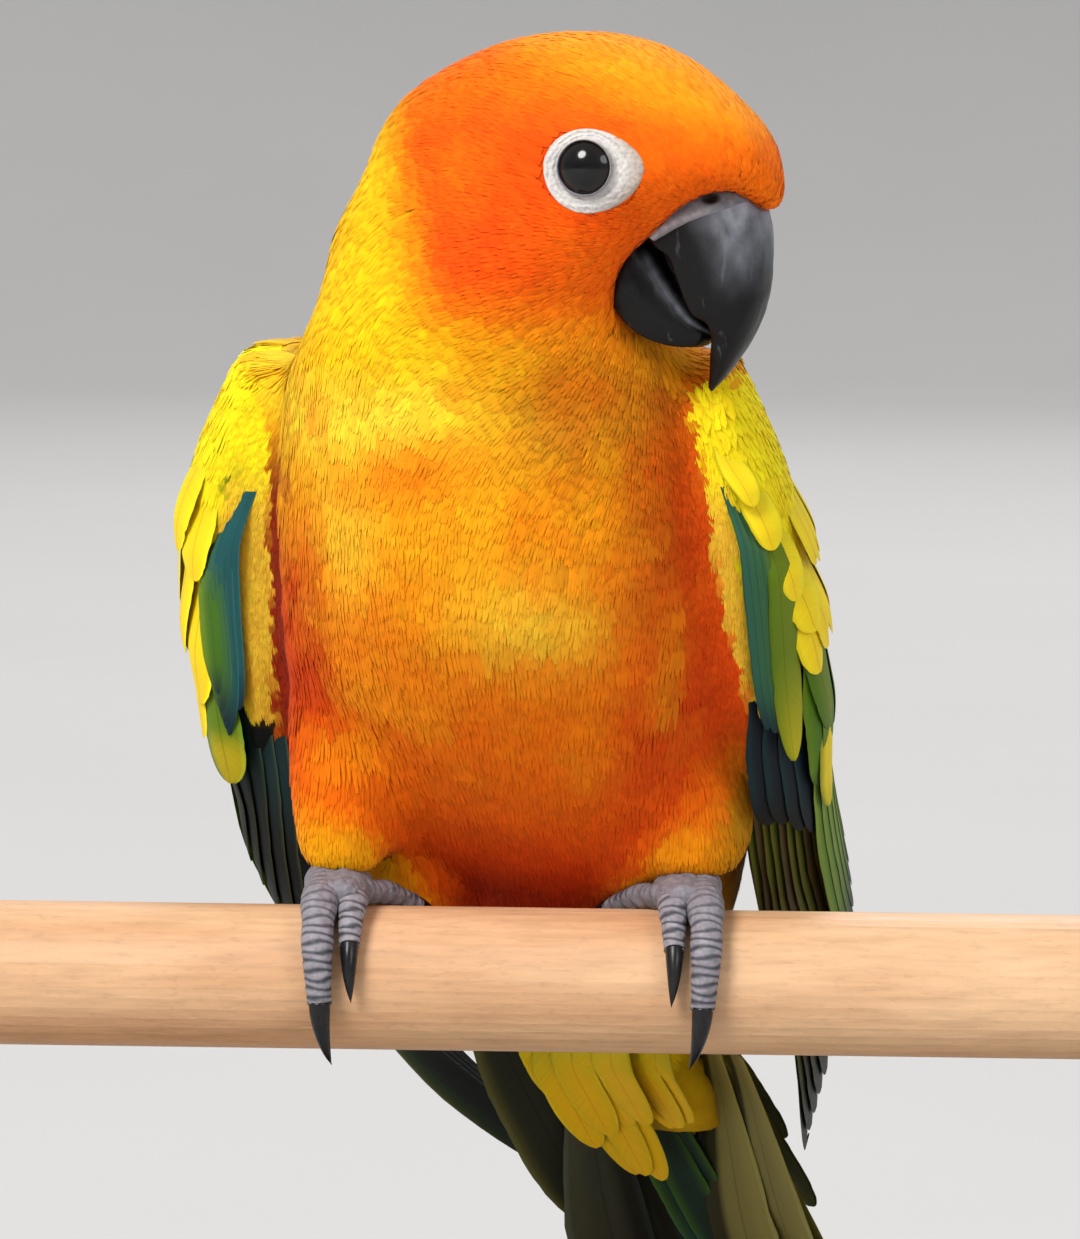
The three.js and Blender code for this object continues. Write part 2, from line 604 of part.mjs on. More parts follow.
function footSolid(x) {
  const pad = [[-5.2, 2.0], [-2.5, 3.2], [1.5, 3.4], [4.8, 2.4]].map(([y, half]) =>
    Array.from({ length: 10 }, (_, i) => {
      const angle = (i / 10) * 2 * Math.PI;
      return v3(x + 1.15 * half * Math.cos(angle), y, PERCH_RADIUS + 2.7 + 0.62 * half * Math.sin(angle));
    }));
  const shank = [[3.0, 10.5, 2.2], [3.8, 13.4, 2.3], [4.6, 17, 2.3]].map(([y, z, half]) =>
    Array.from({ length: 8 }, (_, i) => {
      const angle = (i / 8) * 2 * Math.PI;
      return v3(x + half * Math.cos(angle), y + half * Math.sin(angle), z);
    }));
  const perch = perchRound(60, GAP);
  return joined([solidOf(loft(pad)), solidOf(loft(shank)), ...DIGITS.map((d) => digitSolid(x, d))])
    .subtract(placed(perch, v3(x, 0, 0)));
}

// Materials
const finish = (color, roughness, metalness = 0) =>
  new THREE.MeshStandardMaterial({ color, roughness, metalness });
const COLOURS = {
  chest: finish(0xf58a12, 0.8),
  neck: finish(0xf7a81c, 0.8),
  head: finish(0xf2701a, 0.8),
  wing: finish(0xe3c91a, 0.65),
  tail: finish(0x6f7f2c, 0.6),
  thigh: finish(0xf4a41e, 0.8),
  bill: finish(0x3b3c40, 0.4),
  cere: finish(0x9a9692, 0.6),
  eye: finish(0x120d0b, 0.08),
  lid: finish(0xe9e6e2, 0.6),
  foot: finish(0x8d8486, 0.6),
  claw: finish(0x25201f, 0.35),
  perch: finish(0xd9b78a, 0.6),
  stand: finish(0xb9a58a, 0.5),
  rod: finish(0xb8bcc0, 0.3, 1),
};

// Assembly: the bird and its perch share a group at the perch's height
const tailEnd = tailFeathers.map((f) => tailPoint(f.tip, f.tipSide, f.out).z);
const perchHeight = Math.ceil(BASE.thick + TAIL_CLEARANCE - Math.min(...tailEnd));
const PERCH_Y = -40;

const model = new THREE.Group();
const bird = new THREE.Group();
bird.position.set(0, PERCH_Y, perchHeight);
model.add(bird);

function addMesh(group, name, geometry, material) {
  const mesh = new THREE.Mesh(geometry, material);
  mesh.name = name;
  group.add(mesh);
}

const add = (name, solid, material) => addMesh(bird, name, geometryOf(largest(solid)), material);

function addTrunk() {
  const trunk = trunkSolid();
  const upperGrown = billSolid(UPPER_BILL, GAP);
  const lowerGrown = billSolid(LOWER_BILL, GAP);
  const sides = [-1, 1];
  add('torso', trunk.subtract(above(TAIL_CUT, GAP)).subtract(above(NECK_CUT, GAP)), COLOURS.chest);
  add('neck', trunk.intersect(above(NECK_CUT, GAP)).intersect(below(HEAD_CUT, GAP))
    .subtract(upperGrown).subtract(lowerGrown), COLOURS.neck);
  let head = trunk.intersect(above(HEAD_CUT, GAP)).subtract(upperGrown).subtract(lowerGrown);
  sides.forEach((side) => {
    head = head.subtract(eyeBall(side, GAP)).subtract(lidSolid(side, GAP));
  });
  add('head', head, COLOURS.head);
  sides.forEach((side) => {
    const name = side > 0 ? 'right' : 'left';
    add(`eye_${name}`, eyeBall(side), COLOURS.eye);
    add(`lid_${name}`, lidSolid(side).subtract(eyeBall(side, GAP)), COLOURS.lid);
  });
  const upper = billSolid(UPPER_BILL);
  add('cere', upper.intersect(above(CERE_CUT, GAP)).subtract(nostril(-1)).subtract(nostril(1)),
    COLOURS.cere);
  add('bill_upper', upper.intersect(below(CERE_CUT, GAP)), COLOURS.bill);
  add('bill_lower', billSolid(LOWER_BILL).subtract(upperGrown), COLOURS.bill);
}

function addLimbs() {
  add('wing_right', wingSolid(-1), COLOURS.wing);
  add('wing_left', wingSolid(1), COLOURS.wing);
  add('tail', tailSolid(), COLOURS.tail);
  const trunkGrown = trunkSolid(GAP);
  for (const [name, x] of Object.entries(LEG_X)) {
    const thigh = thighSolid(x).subtract(trunkGrown);
    add(`thigh_${name}`, thigh, COLOURS.thigh);
    const floorOfThigh = beyond(v3(0, 0, THIGH.at(-1).z - GAP), UP);
    const foot = footSolid(x).subtract(floorOfThigh).subtract(trunkGrown);
    add(`foot_${name}`, foot, COLOURS.foot);
    DIGITS.forEach((d) =>
      add(`claw_${name}_${d.name}`, clawSolid(x, d).subtract(trunkGrown), COLOURS.claw));
  }
}

function addStand() {
  addMesh(bird, 'perch', perchRound(PERCH_LENGTH, 0), COLOURS.perch);
  const outline = new THREE.Shape();
  const [w, d, r] = [BASE.width / 2 - BASE.bevel, BASE.depth / 2 - BASE.bevel, BASE.corner];
  outline.moveTo(-w + r, -d).lineTo(w - r, -d).absarc(w - r, -d + r, r, -Math.PI / 2, 0)
    .lineTo(w, d - r).absarc(w - r, d - r, r, 0, Math.PI / 2)
    .lineTo(-w + r, d).absarc(-w + r, d - r, r, Math.PI / 2, Math.PI)
    .lineTo(-w, -d + r).absarc(-w + r, -d + r, r, Math.PI, 1.5 * Math.PI);
  const plate = new THREE.ExtrudeGeometry(outline, {
    depth: BASE.thick - 2 * BASE.bevel, bevelThickness: BASE.bevel, bevelSize: BASE.bevel,
    bevelSegments: 1, curveSegments: 4,
  });
  addMesh(model, 'stand_base', geometryOf(placed(plate, v3(0, 0, BASE.bevel))), COLOURS.stand);
  for (const [name, side] of [['left', 1], ['right', -1]]) {
    const foot = BASE.thick + GAP;
    const rod = new THREE.CylinderGeometry(ROD_RADIUS, ROD_RADIUS, perchHeight - foot, 24)
      .rotateX(Math.PI / 2);
    const x = side * (PERCH_LENGTH / 2 - ROD_INSET);
    const clear = perchRound(40, GAP);
    const solid = placed(rod, v3(x, PERCH_Y, (perchHeight + foot) / 2))
      .subtract(placed(clear, v3(x, PERCH_Y, perchHeight)));
    addMesh(model, `stand_rod_${name}`, geometryOf(largest(solid)), COLOURS.rod);
  }
}

addTrunk();
addLimbs();
addStand();

export default model;
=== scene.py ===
import math

import bpy
import numpy as np
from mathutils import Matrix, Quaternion, Vector, noise
from mathutils.bvhtree import BVHTree
from mathutils.kdtree import KDTree


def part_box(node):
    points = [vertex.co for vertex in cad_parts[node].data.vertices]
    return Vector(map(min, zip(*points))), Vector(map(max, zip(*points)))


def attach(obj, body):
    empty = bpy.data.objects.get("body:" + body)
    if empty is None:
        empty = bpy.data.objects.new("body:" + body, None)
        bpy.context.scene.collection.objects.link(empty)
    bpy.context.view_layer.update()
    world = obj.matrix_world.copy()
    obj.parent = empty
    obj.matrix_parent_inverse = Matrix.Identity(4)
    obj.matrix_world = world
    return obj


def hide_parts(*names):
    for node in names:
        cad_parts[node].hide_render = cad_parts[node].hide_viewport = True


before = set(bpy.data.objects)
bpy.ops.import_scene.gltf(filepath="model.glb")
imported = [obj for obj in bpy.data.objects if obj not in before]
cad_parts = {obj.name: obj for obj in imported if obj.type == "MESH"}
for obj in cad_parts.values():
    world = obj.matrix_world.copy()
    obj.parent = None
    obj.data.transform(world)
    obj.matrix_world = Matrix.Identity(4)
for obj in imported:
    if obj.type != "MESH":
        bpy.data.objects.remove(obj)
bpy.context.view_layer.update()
rng = np.random.default_rng(11)

# Frame of the perch: its axis is X, the bird sits above its middle
low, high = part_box("perch")
ORIGIN = np.array([0.0, (low.y + high.y) / 2, (low.z + high.z) / 2]) * 1000
PERCH_RADIUS = (high.z - low.z) * 500
UP = np.array([0.0, 0.0, 1.0])


def turned(degrees):
    """Unit vector level with the floor, turned from -Y toward +X."""
    a = math.radians(degrees)
    return np.array([math.sin(a), -math.cos(a), 0.0])


BODY_TURN = 20
BODY_X = -1.8
HEAD_TURN = 67
HEAD = np.array([6.0, -13.0, 100.0])
body_back = -turned(-BODY_TURN)
body_side = np.array([body_back[1], -body_back[0], 0.0])
head_forward = turned(HEAD_TURN)
head_right = np.array([head_forward[1], -head_forward[0], 0.0])


def columns(*values):
    """Numbers or arrays brought to one length, each ready to scale a vector."""
    return [np.asarray(v, float)[..., None] for v in np.broadcast_arrays(*values)]


def body_point(side, back, up):
    side, back, up = columns(side, back, up)
    return np.array([BODY_X, 0, 0]) + side * body_side + back * body_back + up * UP


def head_point(forward, right, up):
    forward, right, up = columns(forward, right, up)
    return HEAD + forward * head_forward + right * head_right + up * UP


def unit(v):
    return v / np.maximum(np.linalg.norm(v, axis=-1, keepdims=True), 1e-9)


def smooth(x, low=0.0, high=1.0):
    t = np.clip((np.asarray(x, float) - low) / (high - low), 0, 1)
    return t * t * (3 - 2 * t)


def fade(x, low, high):
    """From 1 at the low limit to 0 at the high one."""
    return 1 - smooth(x, low, high)


def bell(*terms):
    """1 where every term is 0, less all round it."""
    return np.exp(-sum(t**2 for t in terms))


def mix(a, b, share):
    return a + (b - a) * share


def turns(count):
    """Angles of a full turn, without its end."""
    return np.linspace(0, 2 * np.pi, count, endpoint=False)


def grid(down, across):
    return np.meshgrid(down, across, indexing="ij")


def on_plane(direction, normal):
    """Unit vectors of the directions laid flat against the normals."""
    return unit(direction - np.sum(direction * normal, -1, keepdims=True) * normal)


def track(stops, values, at):
    """Catmull-Rom values at numbers or arrays."""
    stops, values = np.asarray(stops, float), np.asarray(values, float)
    last = len(stops) - 1
    k = np.arange(last + 1)
    after, before = np.minimum(k + 1, last), np.maximum(k - 1, 0)
    slopes = (values[after] - values[before]) / (stops[after] - stops[before])
    t = np.clip(np.asarray(at, float), stops[0], stops[-1])
    i = np.clip(np.searchsorted(stops, t, side="right") - 1, 0, last - 1)
    span = stops[i + 1] - stops[i]
    f = (t - stops[i]) / span
    return (
        (2 * f**3 - 3 * f**2 + 1) * values[i]
        + (f**3 - 2 * f**2 + f) * span * slopes[i]
        + (3 * f**2 - 2 * f**3) * values[i + 1]
        + (f**3 - f**2) * span * slopes[i + 1]
    )


# Wing patch: u along the wing, v across toward the back, h outward
WING_STOPS = [0, 20, 42, 72, 110, 152]
WING_BACK = [-1, 3, 11, 25, 50, 81]
WING_UP = [80, 60, 39, 13, -15, -43]
WING_REACH = {-1: [35.5, 43.8, 43, 44, 37, 19.5], 1: [31.5, 37.2, 37.6, 36.4, 33, 24]}
WING_FORE_CURVE = [13, 14, 15, 17, 26, 60]
WING_REAR_CURVE = [18, 24, 26, 28, 40, 60]
WING_LIFT = {-1: 0, 1: 9}
WING_WRAP = {-1: 1.0, 1: 0.6}


def wing_point(side, u, v, h, lead=None):
    """h goes outward as it does at lead, or at v where no lead is given."""
    u, v, h = np.broadcast_arrays(np.asarray(u, float), np.asarray(v, float), np.asarray(h, float))
    lead = v if lead is None else np.broadcast_to(np.asarray(lead, float), u.shape)
    rise = [z + WING_LIFT[side] * smooth(s / WING_STOPS[-1]) for z, s in zip(WING_UP, WING_STOPS)]
    (back, up), (far_back, far_up), (near_back, near_up) = [
        [track(WING_STOPS, values, u + step) for values in (WING_BACK, rise)] for step in (0, 0.5, -0.5)
    ]
    run_back, run_up = far_back - near_back, far_up - near_up
    length = np.maximum(np.hypot(run_back, run_up), 1e-6)
    rear_back, rear_up = -run_up / length, run_back / length
    curves = (WING_REACH[side], WING_FORE_CURVE, WING_REAR_CURVE)
    reach, fore, aft = [track(WING_STOPS, values, u) for values in curves]
    radius = np.where(v < 0, fore, aft)
    angle = v / radius
    lead_angle = lead / np.where(lead < 0, fore, aft)
    across = radius * np.sin(angle) + h * np.sin(lead_angle)
    out = reach - radius * (1 - np.cos(angle)) + h * np.cos(lead_angle)
    return body_point(side * out, back + rear_back * across, up + rear_up * across)


# Tail
TAIL_TURN, TAIL_DROP, TAIL_LENGTH, TAIL_ARCH = 33, 47, 134, 46
tail_back = np.array([math.sin(math.radians(TAIL_TURN)), math.cos(math.radians(TAIL_TURN)), 0])
tail_side = np.array([tail_back[1], -tail_back[0], 0])
drop = math.radians(TAIL_DROP)
tail_run = tail_back * math.cos(drop) - UP * math.sin(drop)
tail_out = tail_back * math.sin(drop) + UP * math.cos(drop)
TAIL_ROOT = body_point(3.6, 42, -10)


def tail_point(run, side, out):
    run, side, out = columns(run, side, out)
    return TAIL_ROOT + run * tail_run + side * tail_side + (out - side**2 / (2 * TAIL_ARCH)) * tail_out


# Meshes from arrays
def to_world(points):
    return (np.asarray(points, float).reshape(-1, 3) + ORIGIN) / 1000


def set_markings(mesh, colours):
    attribute = mesh.color_attributes.new(name="Markings", type="FLOAT_COLOR", domain="POINT")
    rgba = np.ones((len(colours), 4), np.float32)
    rgba[:, :3] = np.clip(colours, 0, 1)
    attribute.data.foreach_set("color", rgba.ravel())


def read_mesh(mesh):
    """Points, normals at the points and triangles of a mesh."""
    mesh.calc_loop_triangles()
    places, normals = np.zeros(len(mesh.vertices) * 3), np.zeros(len(mesh.vertices) * 3)
    triangles = np.zeros(len(mesh.loop_triangles) * 3, np.int32)
    mesh.vertices.foreach_get("co", places)
    mesh.vertices.foreach_get("normal", normals)
    mesh.loop_triangles.foreach_get("vertices", triangles)
    return places.reshape(-1, 3) * 1000 - ORIGIN, normals.reshape(-1, 3), triangles.reshape(-1, 3)


def mesh_of(name, points, faces, colours=None, normals=None, uv=None, vane=None):
    """A mesh from arrays; faces are one array of triangles or quads, or a list of such arrays."""
    groups = faces if isinstance(faces, list) else [faces]
    groups = [np.asarray(g, np.int32) for g in groups if len(g)]
    mesh = bpy.data.meshes.new(name)
    world = to_world(points)
    mesh.vertices.add(len(world))
    mesh.vertices.foreach_set("co", world.astype(np.float32).ravel())
    corners = np.concatenate([g.ravel() for g in groups])
    sizes = np.concatenate([np.full(len(g), g.shape[1]) for g in groups])
    mesh.loops.add(len(corners))
    mesh.loops.foreach_set("vertex_index", corners)
    mesh.polygons.add(len(sizes))
    starts = np.concatenate([[0], np.cumsum(sizes)[:-1]])
    mesh.polygons.foreach_set("loop_start", starts.astype(np.int32))
    mesh.update(calc_edges=True)
    mesh.shade_smooth()
    if colours is not None:
        set_markings(mesh, colours)
    if vane is not None:
        attribute = mesh.attributes.new("Vane", "FLOAT_VECTOR", "POINT")
        attribute.data.foreach_set("vector", np.asarray(vane, np.float32).ravel())
    if uv is not None:
        layer = mesh.uv_layers.new(name="OFBake")
        layer.data.foreach_set("uv", np.asarray(uv, np.float32)[corners].ravel())
    if normals is not None:
        mesh.normals_split_custom_set_from_vertices(unit(normals).tolist())
    return mesh


def placed(name, data):
    """A new object in the scene."""
    obj = bpy.data.objects.new(name, data)
    bpy.context.scene.collection.objects.link(obj)
    return obj


def piece(name, data, material, slot, *nodes):
    """An object on the root from a mesh or the values of mesh_of."""
    mesh = mesh_of(name, *data) if isinstance(data, tuple) else data
    obj = placed(name, mesh)
    mesh.materials.append(material)
    if nodes:
        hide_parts(*nodes)
    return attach(obj, "root")


def loft(rings, closed_ends=True):
    """Points and quads and end triangles of a skin over rings of equal count."""
    rings = np.asarray(rings, float)
    count, sides = rings.shape[:2]
    points = rings.reshape(-1, 3)
    r, i = grid(np.arange(count - 1), np.arange(sides))
    a = (r * sides + i).ravel()
    b = (r * sides + (i + 1) % sides).ravel()
    quads = np.stack([a, b, b + sides, a + sides], 1)
    if not closed_ends:
        return points, [quads]
    middles = np.stack([rings[0].mean(0), rings[-1].mean(0)])
    points = np.concatenate([points, middles])
    k = np.arange(sides)
    n = (k + 1) % sides
    first, last = count * sides, count * sides + 1
    end = (count - 1) * sides
    caps = np.concatenate([
        np.stack([n, k, np.full(sides, first)], 1),
        np.stack([end + k, end + n, np.full(sides, last)], 1),
    ])
    return points, [quads, caps]


# Palette, as linear colour
def colour(red, green, blue):
    c = np.array([red, green, blue]) / 255
    return np.where(c <= 0.04045, c / 12.92, ((c + 0.055) / 1.055) ** 2.4)


FACE_RED = colour(248, 79, 10)
FACE_ORANGE = colour(252, 118, 12)
CROWN_GOLD = colour(251, 156, 22)
NAPE_YELLOW = colour(252, 198, 18)
NECK_ORANGE = colour(249, 142, 14)
NECK_GOLD = colour(252, 196, 18)
CHEST_GOLD = colour(249, 170, 20)
CHEST = colour(244, 140, 14)
BELLY_ORANGE = colour(236, 108, 8)
BELLY_RED = colour(200, 58, 6)
FLANK_RED = colour(206, 48, 8)
THIGH_ORANGE = colour(238, 104, 8)
THIGH_GOLD = colour(251, 172, 16)
THIGH_SHADE = colour(176, 130, 16)
SIDE_ORANGE = colour(196, 66, 8)
CHEST_PALE_AND_HIGHLIGHT = colour(253, 222, 58)
CHEST_WARM = colour(242, 118, 12)
VENT_YELLOW = colour(232, 190, 16)
MANTLE = colour(250, 186, 20)
WING_YELLOW = colour(252, 228, 26)
BAND_YELLOW_SHADED = colour(232, 184, 50)
RIM_RED = colour(214, 70, 10)
THROAT_SHADE = colour(186, 94, 10)
DEEP_RED_SHADOW = colour(134, 24, 6)
LEAF = colour(70, 112, 14)
MOSS = colour(126, 150, 20)
OLIVE = colour(118, 112, 44)
TEAL = colour(28, 82, 84)
NAVY = colour(12, 30, 48)
SLATE = colour(19, 23, 21)
BARK = colour(66, 52, 36)
PINE = colour(16, 50, 40)
SOOT = colour(36, 44, 34)
SOOT_EDGE = colour(12, 16, 12)
DULL_OLIVE = colour(104, 108, 44)
TAIL_OLIVE = colour(128, 124, 68)
TAIL_PALE = colour(150, 144, 78)
TAIL_OLIVE_EDGE = colour(20, 26, 18)
TAIL_RIM = colour(184, 176, 96)
TAIL_GREY = colour(50, 54, 42)
TAIL_GREY_PALE = colour(70, 72, 52)
TAIL_GREY_EDGE = colour(14, 20, 14)
TAIL_BLUE = colour(24, 70, 78)


def paint(base, layer, share):
    return mix(base, layer, np.asarray(share)[..., None])


def layered(out, *layers):
    """Colours with layers painted over them in turn, each a tint and its share."""
    for tint, share in layers:
        out = paint(out, tint, share)
    return out


def mottle(points, size, offset=0.0):
    """Soft noise from -1 to 1 with patches of the given size."""
    shift = Vector((offset, 0, 0))
    values = [noise.noise(Vector(p) + shift) for p in (points / size).reshape(-1, 3)]
    return np.array(values).reshape(points.shape[:-1])


BILL_BASE = head_point(20.0, 0.0, -4.0)
EYE = {-1: head_point(8.7, -13.5, 1.6), 1: head_point(8.7, 13.5, 1.6)}
EYE_RADIUS = 4.18
LEG_X = (22.0, -20.8)


def head_colour(from_head):
    ahead, up = from_head @ head_forward, from_head[:, 2]
    ear, cheek = bell((ahead + 4) / 6, (up - 1) / 5), bell((ahead - 9) / 5, (up + 9) / 4.5)
    return layered(
        FACE_RED,
        (FACE_ORANGE, np.maximum(smooth(up, 2, 12) * 0.8, np.maximum(ear, cheek) * 0.6)),
        (CROWN_GOLD, smooth(up - 14 + 0.5 * ahead, -2.0, 5.0)),
        (FACE_ORANGE, smooth(ahead, 22, 26) * fade(up, 0, 5) * 0.8),
        (FACE_ORANGE, smooth(ahead, 9, 17) * fade(up, 2, 8) * 0.6),
        (NECK_ORANGE, fade(up, -19, -9)),
        (NECK_GOLD, fade(up + 0.36 * ahead, -25, -15)),
        (NAPE_YELLOW, fade(ahead + 0.35 * up, -19, -7)),
    )


# Pale and warm places on the breast, the broad pale one high at -x a painted highlight: x, z, half width,
# half height and strength
PATCHES = (
    (CHEST_PALE_AND_HIGHLIGHT, (
        (-15, 74.5, 12, 4, 0.9), (-20, 62, 4, 9, 0.5), (3, 50, 9, 6, 0.7), (8, 73, 6, 3, 0.5),
        (-23, 78, 5, 4, 0.5),
    )),
    (CHEST_WARM, (
        (-10, 69, 8, 3.5, 0.7), (13, 67, 6, 7, 0.6), (10, 56, 8, 5, 0.4), (20, 75, 3, 5, 0.8),
        (-17, 45, 6, 8, 0.4),
    )),
)
# Darker orange over the throat, partly its own colour and partly painted shadow of the head and bill:
# middle and radius
THROAT_MIDDLE = np.array([10.0, -24.0, 78.0])
THROAT_RADIUS = 18


def body_colour(p):
    x, z = p[:, 0], p[:, 2]
    off = p - np.array([BODY_X, 0, 0])
    behind = off @ body_back - track([-20, 18, 58, 80, 118], [46, 25, 1, -6, -8], z)
    from_throat = np.linalg.norm(p - THROAT_MIDDLE, axis=1)
    patches = [
        (tint, bell((x - middle_x) / wide, (z - middle_z) / tall) * share)
        for tint, places in PATCHES for middle_x, middle_z, wide, tall, share in places
    ]
    out = layered(
        CHEST_GOLD,
        (NECK_GOLD, smooth(z, 66, 78)),
        (CHEST, fade(z, 52, 68)),
        (CHEST_GOLD, bell((x + 3) / 13, (z - 56) / 9) * 0.6),
        *patches,
        (BELLY_ORANGE, fade(z, 34, 54) * 0.9),
        (BELLY_RED, fade(z, 12, 36)),
        (FLANK_RED, smooth(x, 8, 20) * fade(z, 40, 72) * 0.85),
        (SIDE_ORANGE, smooth(x, 9, 20) * smooth(z, 46, 60) * fade(z, 76, 84) * 0.85),
        # Painted shadow of the head and bill over the throat, in darker orange
        (THROAT_SHADE, fade(from_throat, THROAT_RADIUS * (1 - 0.85), THROAT_RADIUS) * 0.9),
        (FLANK_RED, smooth(-x, 20.5, 26) * fade(z, 52, 74) * 0.9),
        (MANTLE, smooth(behind, 2, 14) * smooth(z, 10, 40)),
        (VENT_YELLOW, fade(z, -6, 6)),
    )
    for leg in LEG_X:
        inward = (leg - x) * np.sign(leg)
        beyond = inward - 9 + 0.62 * (z - 12.7)
        front_side = fade(p[:, 1], 14, 22)
        out = layered(
            out,
            (THIGH_ORANGE, fade(beyond, 0, 6) * fade(z, 28, 42) * front_side * (0.5 if leg > 0 else 1.0)),
            (THIGH_GOLD, fade(beyond, -2, 1.5) * fade(z, 18, 30) * front_side * (0.6 if leg > 0 else 1.0)),
        )
    # Darker olive gold on the outer side of the left thigh, painted shade
    return paint(out, THIGH_SHADE, smooth(x, 23, 29) * fade(z, 24, 40) * 0.85)


# Where the body's feathers end on the front face of each wing: w along u
WING_EDGE = {
    -1: ([0, 6, 11, 17, 23, 28, 33, 40, 48], [-16, -20, -23.6, -25.6, -26.5, -25.8, -24, -22.2, -22.6]),
    1: (
        [-6, 0, 2.5, 6.5, 11, 18, 25, 32, 39, 47, 56],
        [0, -12, -16.8, -19, -20.6, -22.6, -23.4, -22.6, -21.4, -20.4, -19],
    ),
}
# Green flecks on the front face of each wing: u and w
GREEN_SPOTS = {-1: ((13.5, -17.6),), 1: ((11.5, -15.2), (13.0, -11.8))}


def wing_edge(side, u):
    return np.where(side < 0, np.interp(u, *WING_EDGE[-1]), np.interp(u, *WING_EDGE[1]))


def wing_colour(side, u, w):
    out = layered(
        WING_YELLOW,
        (MANTLE, 0.18 * smooth(mottle(np.stack([u, w, side * 9], 1), 7), 0.0, 0.8)),
        # Duller darker yellow on the wing's front band: its own yellow under painted shade
        (BAND_YELLOW_SHADED, fade(w, -18.5, -16.5) * smooth(u, 10, 18)),
    )
    for which, spots in GREEN_SPOTS.items():
        for spot_u, spot_w in spots:
            near = bell((u - spot_u - 0.5 * (w - spot_w)) / 0.9, (w - spot_w) / 1.5)
            out = paint(out, LEAF, near * (side == which))
    return layered(out, (LEAF, smooth(u, 44, 52)), (SLATE, fade(w, -15.5, -14) * smooth(u, 43, 46)))


def plumage_colour(p):
    """Markings told by the place alone, so that the skin and the coat agree."""
    z = p[:, 2]
    patches = mottle(p, 8.0) + 0.5 * mottle(p, 3.6, 31.0)
    share = fade(z, 74, 88)
    out = layered(
        body_colour(p),
        (head_colour(p - HEAD), smooth(z, 77, 86)),
        (CHEST_GOLD, np.clip(patches, 0, 1) * 0.55 * share * smooth(z, 22, 40)),
        (BELLY_ORANGE, np.clip(-patches, 0, 1) * 0.6 * share * smooth(z, 10, 30)),
    )
    side, u, w, distance = on_wing(p).T
    shoulder = (u < 12) & (p[:, 1] < 12) & ((side < 0) | (z < 75))
    farther = np.where(u > 50, 4.0, 0.0) + np.where(shoulder, np.where(side < 0, 3.4, 2.5), 0.0)
    on_bed = fade(distance - farther, *BED_LIMITS)
    beyond = wing_edge(side, u) - w
    rim = on_bed * smooth(beyond, -0.5, 0.5) * fade(beyond, 5, 11) * smooth(u, 4, 16) * fade(u, 42, 50)
    # Beside the left wing the body's red-orange rim; beside the right wing dark red, painted shadow in the
    # gap between wing and body
    out = layered(out, (RIM_RED, rim * (side > 0) * 0.75), (DEEP_RED_SHADOW, rim * (side < 0) * 0.9))
    out = out * (1 + 0.10 * mottle(p, 3.5, 40.0))[:, None]
    return paint(out, wing_colour(side, u, w), on_bed * fade(beyond, -0.5, 0.5))


# Skin: the flesh nodes, wing beds and tail root as one closed surface
VOXEL = 0.0009
# Distances from a wing's bed between which its own feathers give way to the body's
BED_LIMITS = (2.2, 3.6)
COAT_DEPTH = 1.3
CORE_STOPS = [-6, -2, 6, 20, 42, 58]
# Front edge, rear edge, depth under the feathers and thickness of the wing's bed at the stops
CORE = (
    [-3, -8, -14, -19, -20, -14], [2, 7, 17, 34, 43, 39], [5, 2, 0.6, 0, 0, 0], [2, 6, 12, 15, 15, 10],
)


def wing_section(side, u, outer_count, inner_count):
    """Outer and inner edge of the wing's bed at one place along the wing, and the outer edge's v."""
    fore, rear, sink, thick = [track(CORE_STOPS, values, u) for values in CORE]
    fore = fore * WING_WRAP[side]
    v = np.linspace(fore, rear, outer_count)
    outer = wing_point(side, u, v, -sink)
    inner = wing_point(side, u, np.linspace(rear - 2, fore + 2, inner_count), -sink - thick, 0)
    return outer, inner, v, thick


def wing_bed(side):
    rings = [np.concatenate(wing_section(side, u, 14, 8)[:2]) for u in np.linspace(-6, 56, 17)]
    return loft(rings)


def pad(middle, radii):
    """Closed rounded filler."""
    polar, turn = grid(np.linspace(0.05, np.pi - 0.05, 20), turns(27))
    ball = np.stack([np.sin(polar) * np.cos(turn), np.sin(polar) * np.sin(turn), np.cos(polar)], -1)
    return loft((np.array(middle) + ball * np.array(radii))[::-1])


def tail_bed():
    rings = []
    for run, left, right, thick in ((-4, 9, 10, 7), (1, 9, 10, 7.2), (8, 10.8, 14, 7.4), (18, 9, 12, 5)):
        angle = turns(24)
        side = np.cos(angle)
        rings.append(tail_point(run, side * np.where(side > 0, right, left), -4.4 + thick * np.sin(angle)))
    return loft(rings)


INSIDE_W = -60.0


def wing_samples():
    """Places over both wing beds with side, u and w, which goes on over the front face."""
    places, rows = [], []
    for side in (-1, 1):
        for u in np.arange(-6, 57, 1.2):
            outer, inner, v, thick = wing_section(side, u, 54, 30)
            places.append(outer)
            w = np.where(v < 0, v / WING_WRAP[side], v)
            rows += [(side, u, value) for value in w]
            places.append(inner)
            rows += [(side, u, INSIDE_W)] * len(inner)
            for share in np.linspace(0.08, 0.9, 11):
                places.append(mix(outer[0], inner[-1], share)[None])
                rows.append((side, u, w[0] - share * thick))
    return np.concatenate(places), np.array(rows)


wing_places, wing_rows = wing_samples()
wing_tree = KDTree(len(wing_places))
for index, place in enumerate(wing_places):
    wing_tree.insert(place, index)
wing_tree.balance()


def on_wing(points):
    """Side, u, w and distance of the nearest place on a wing bed."""
    found = np.array([wing_tree.find(p)[1:] for p in points])
    return np.column_stack([wing_rows[found[:, 0].astype(int)], found[:, 1]])


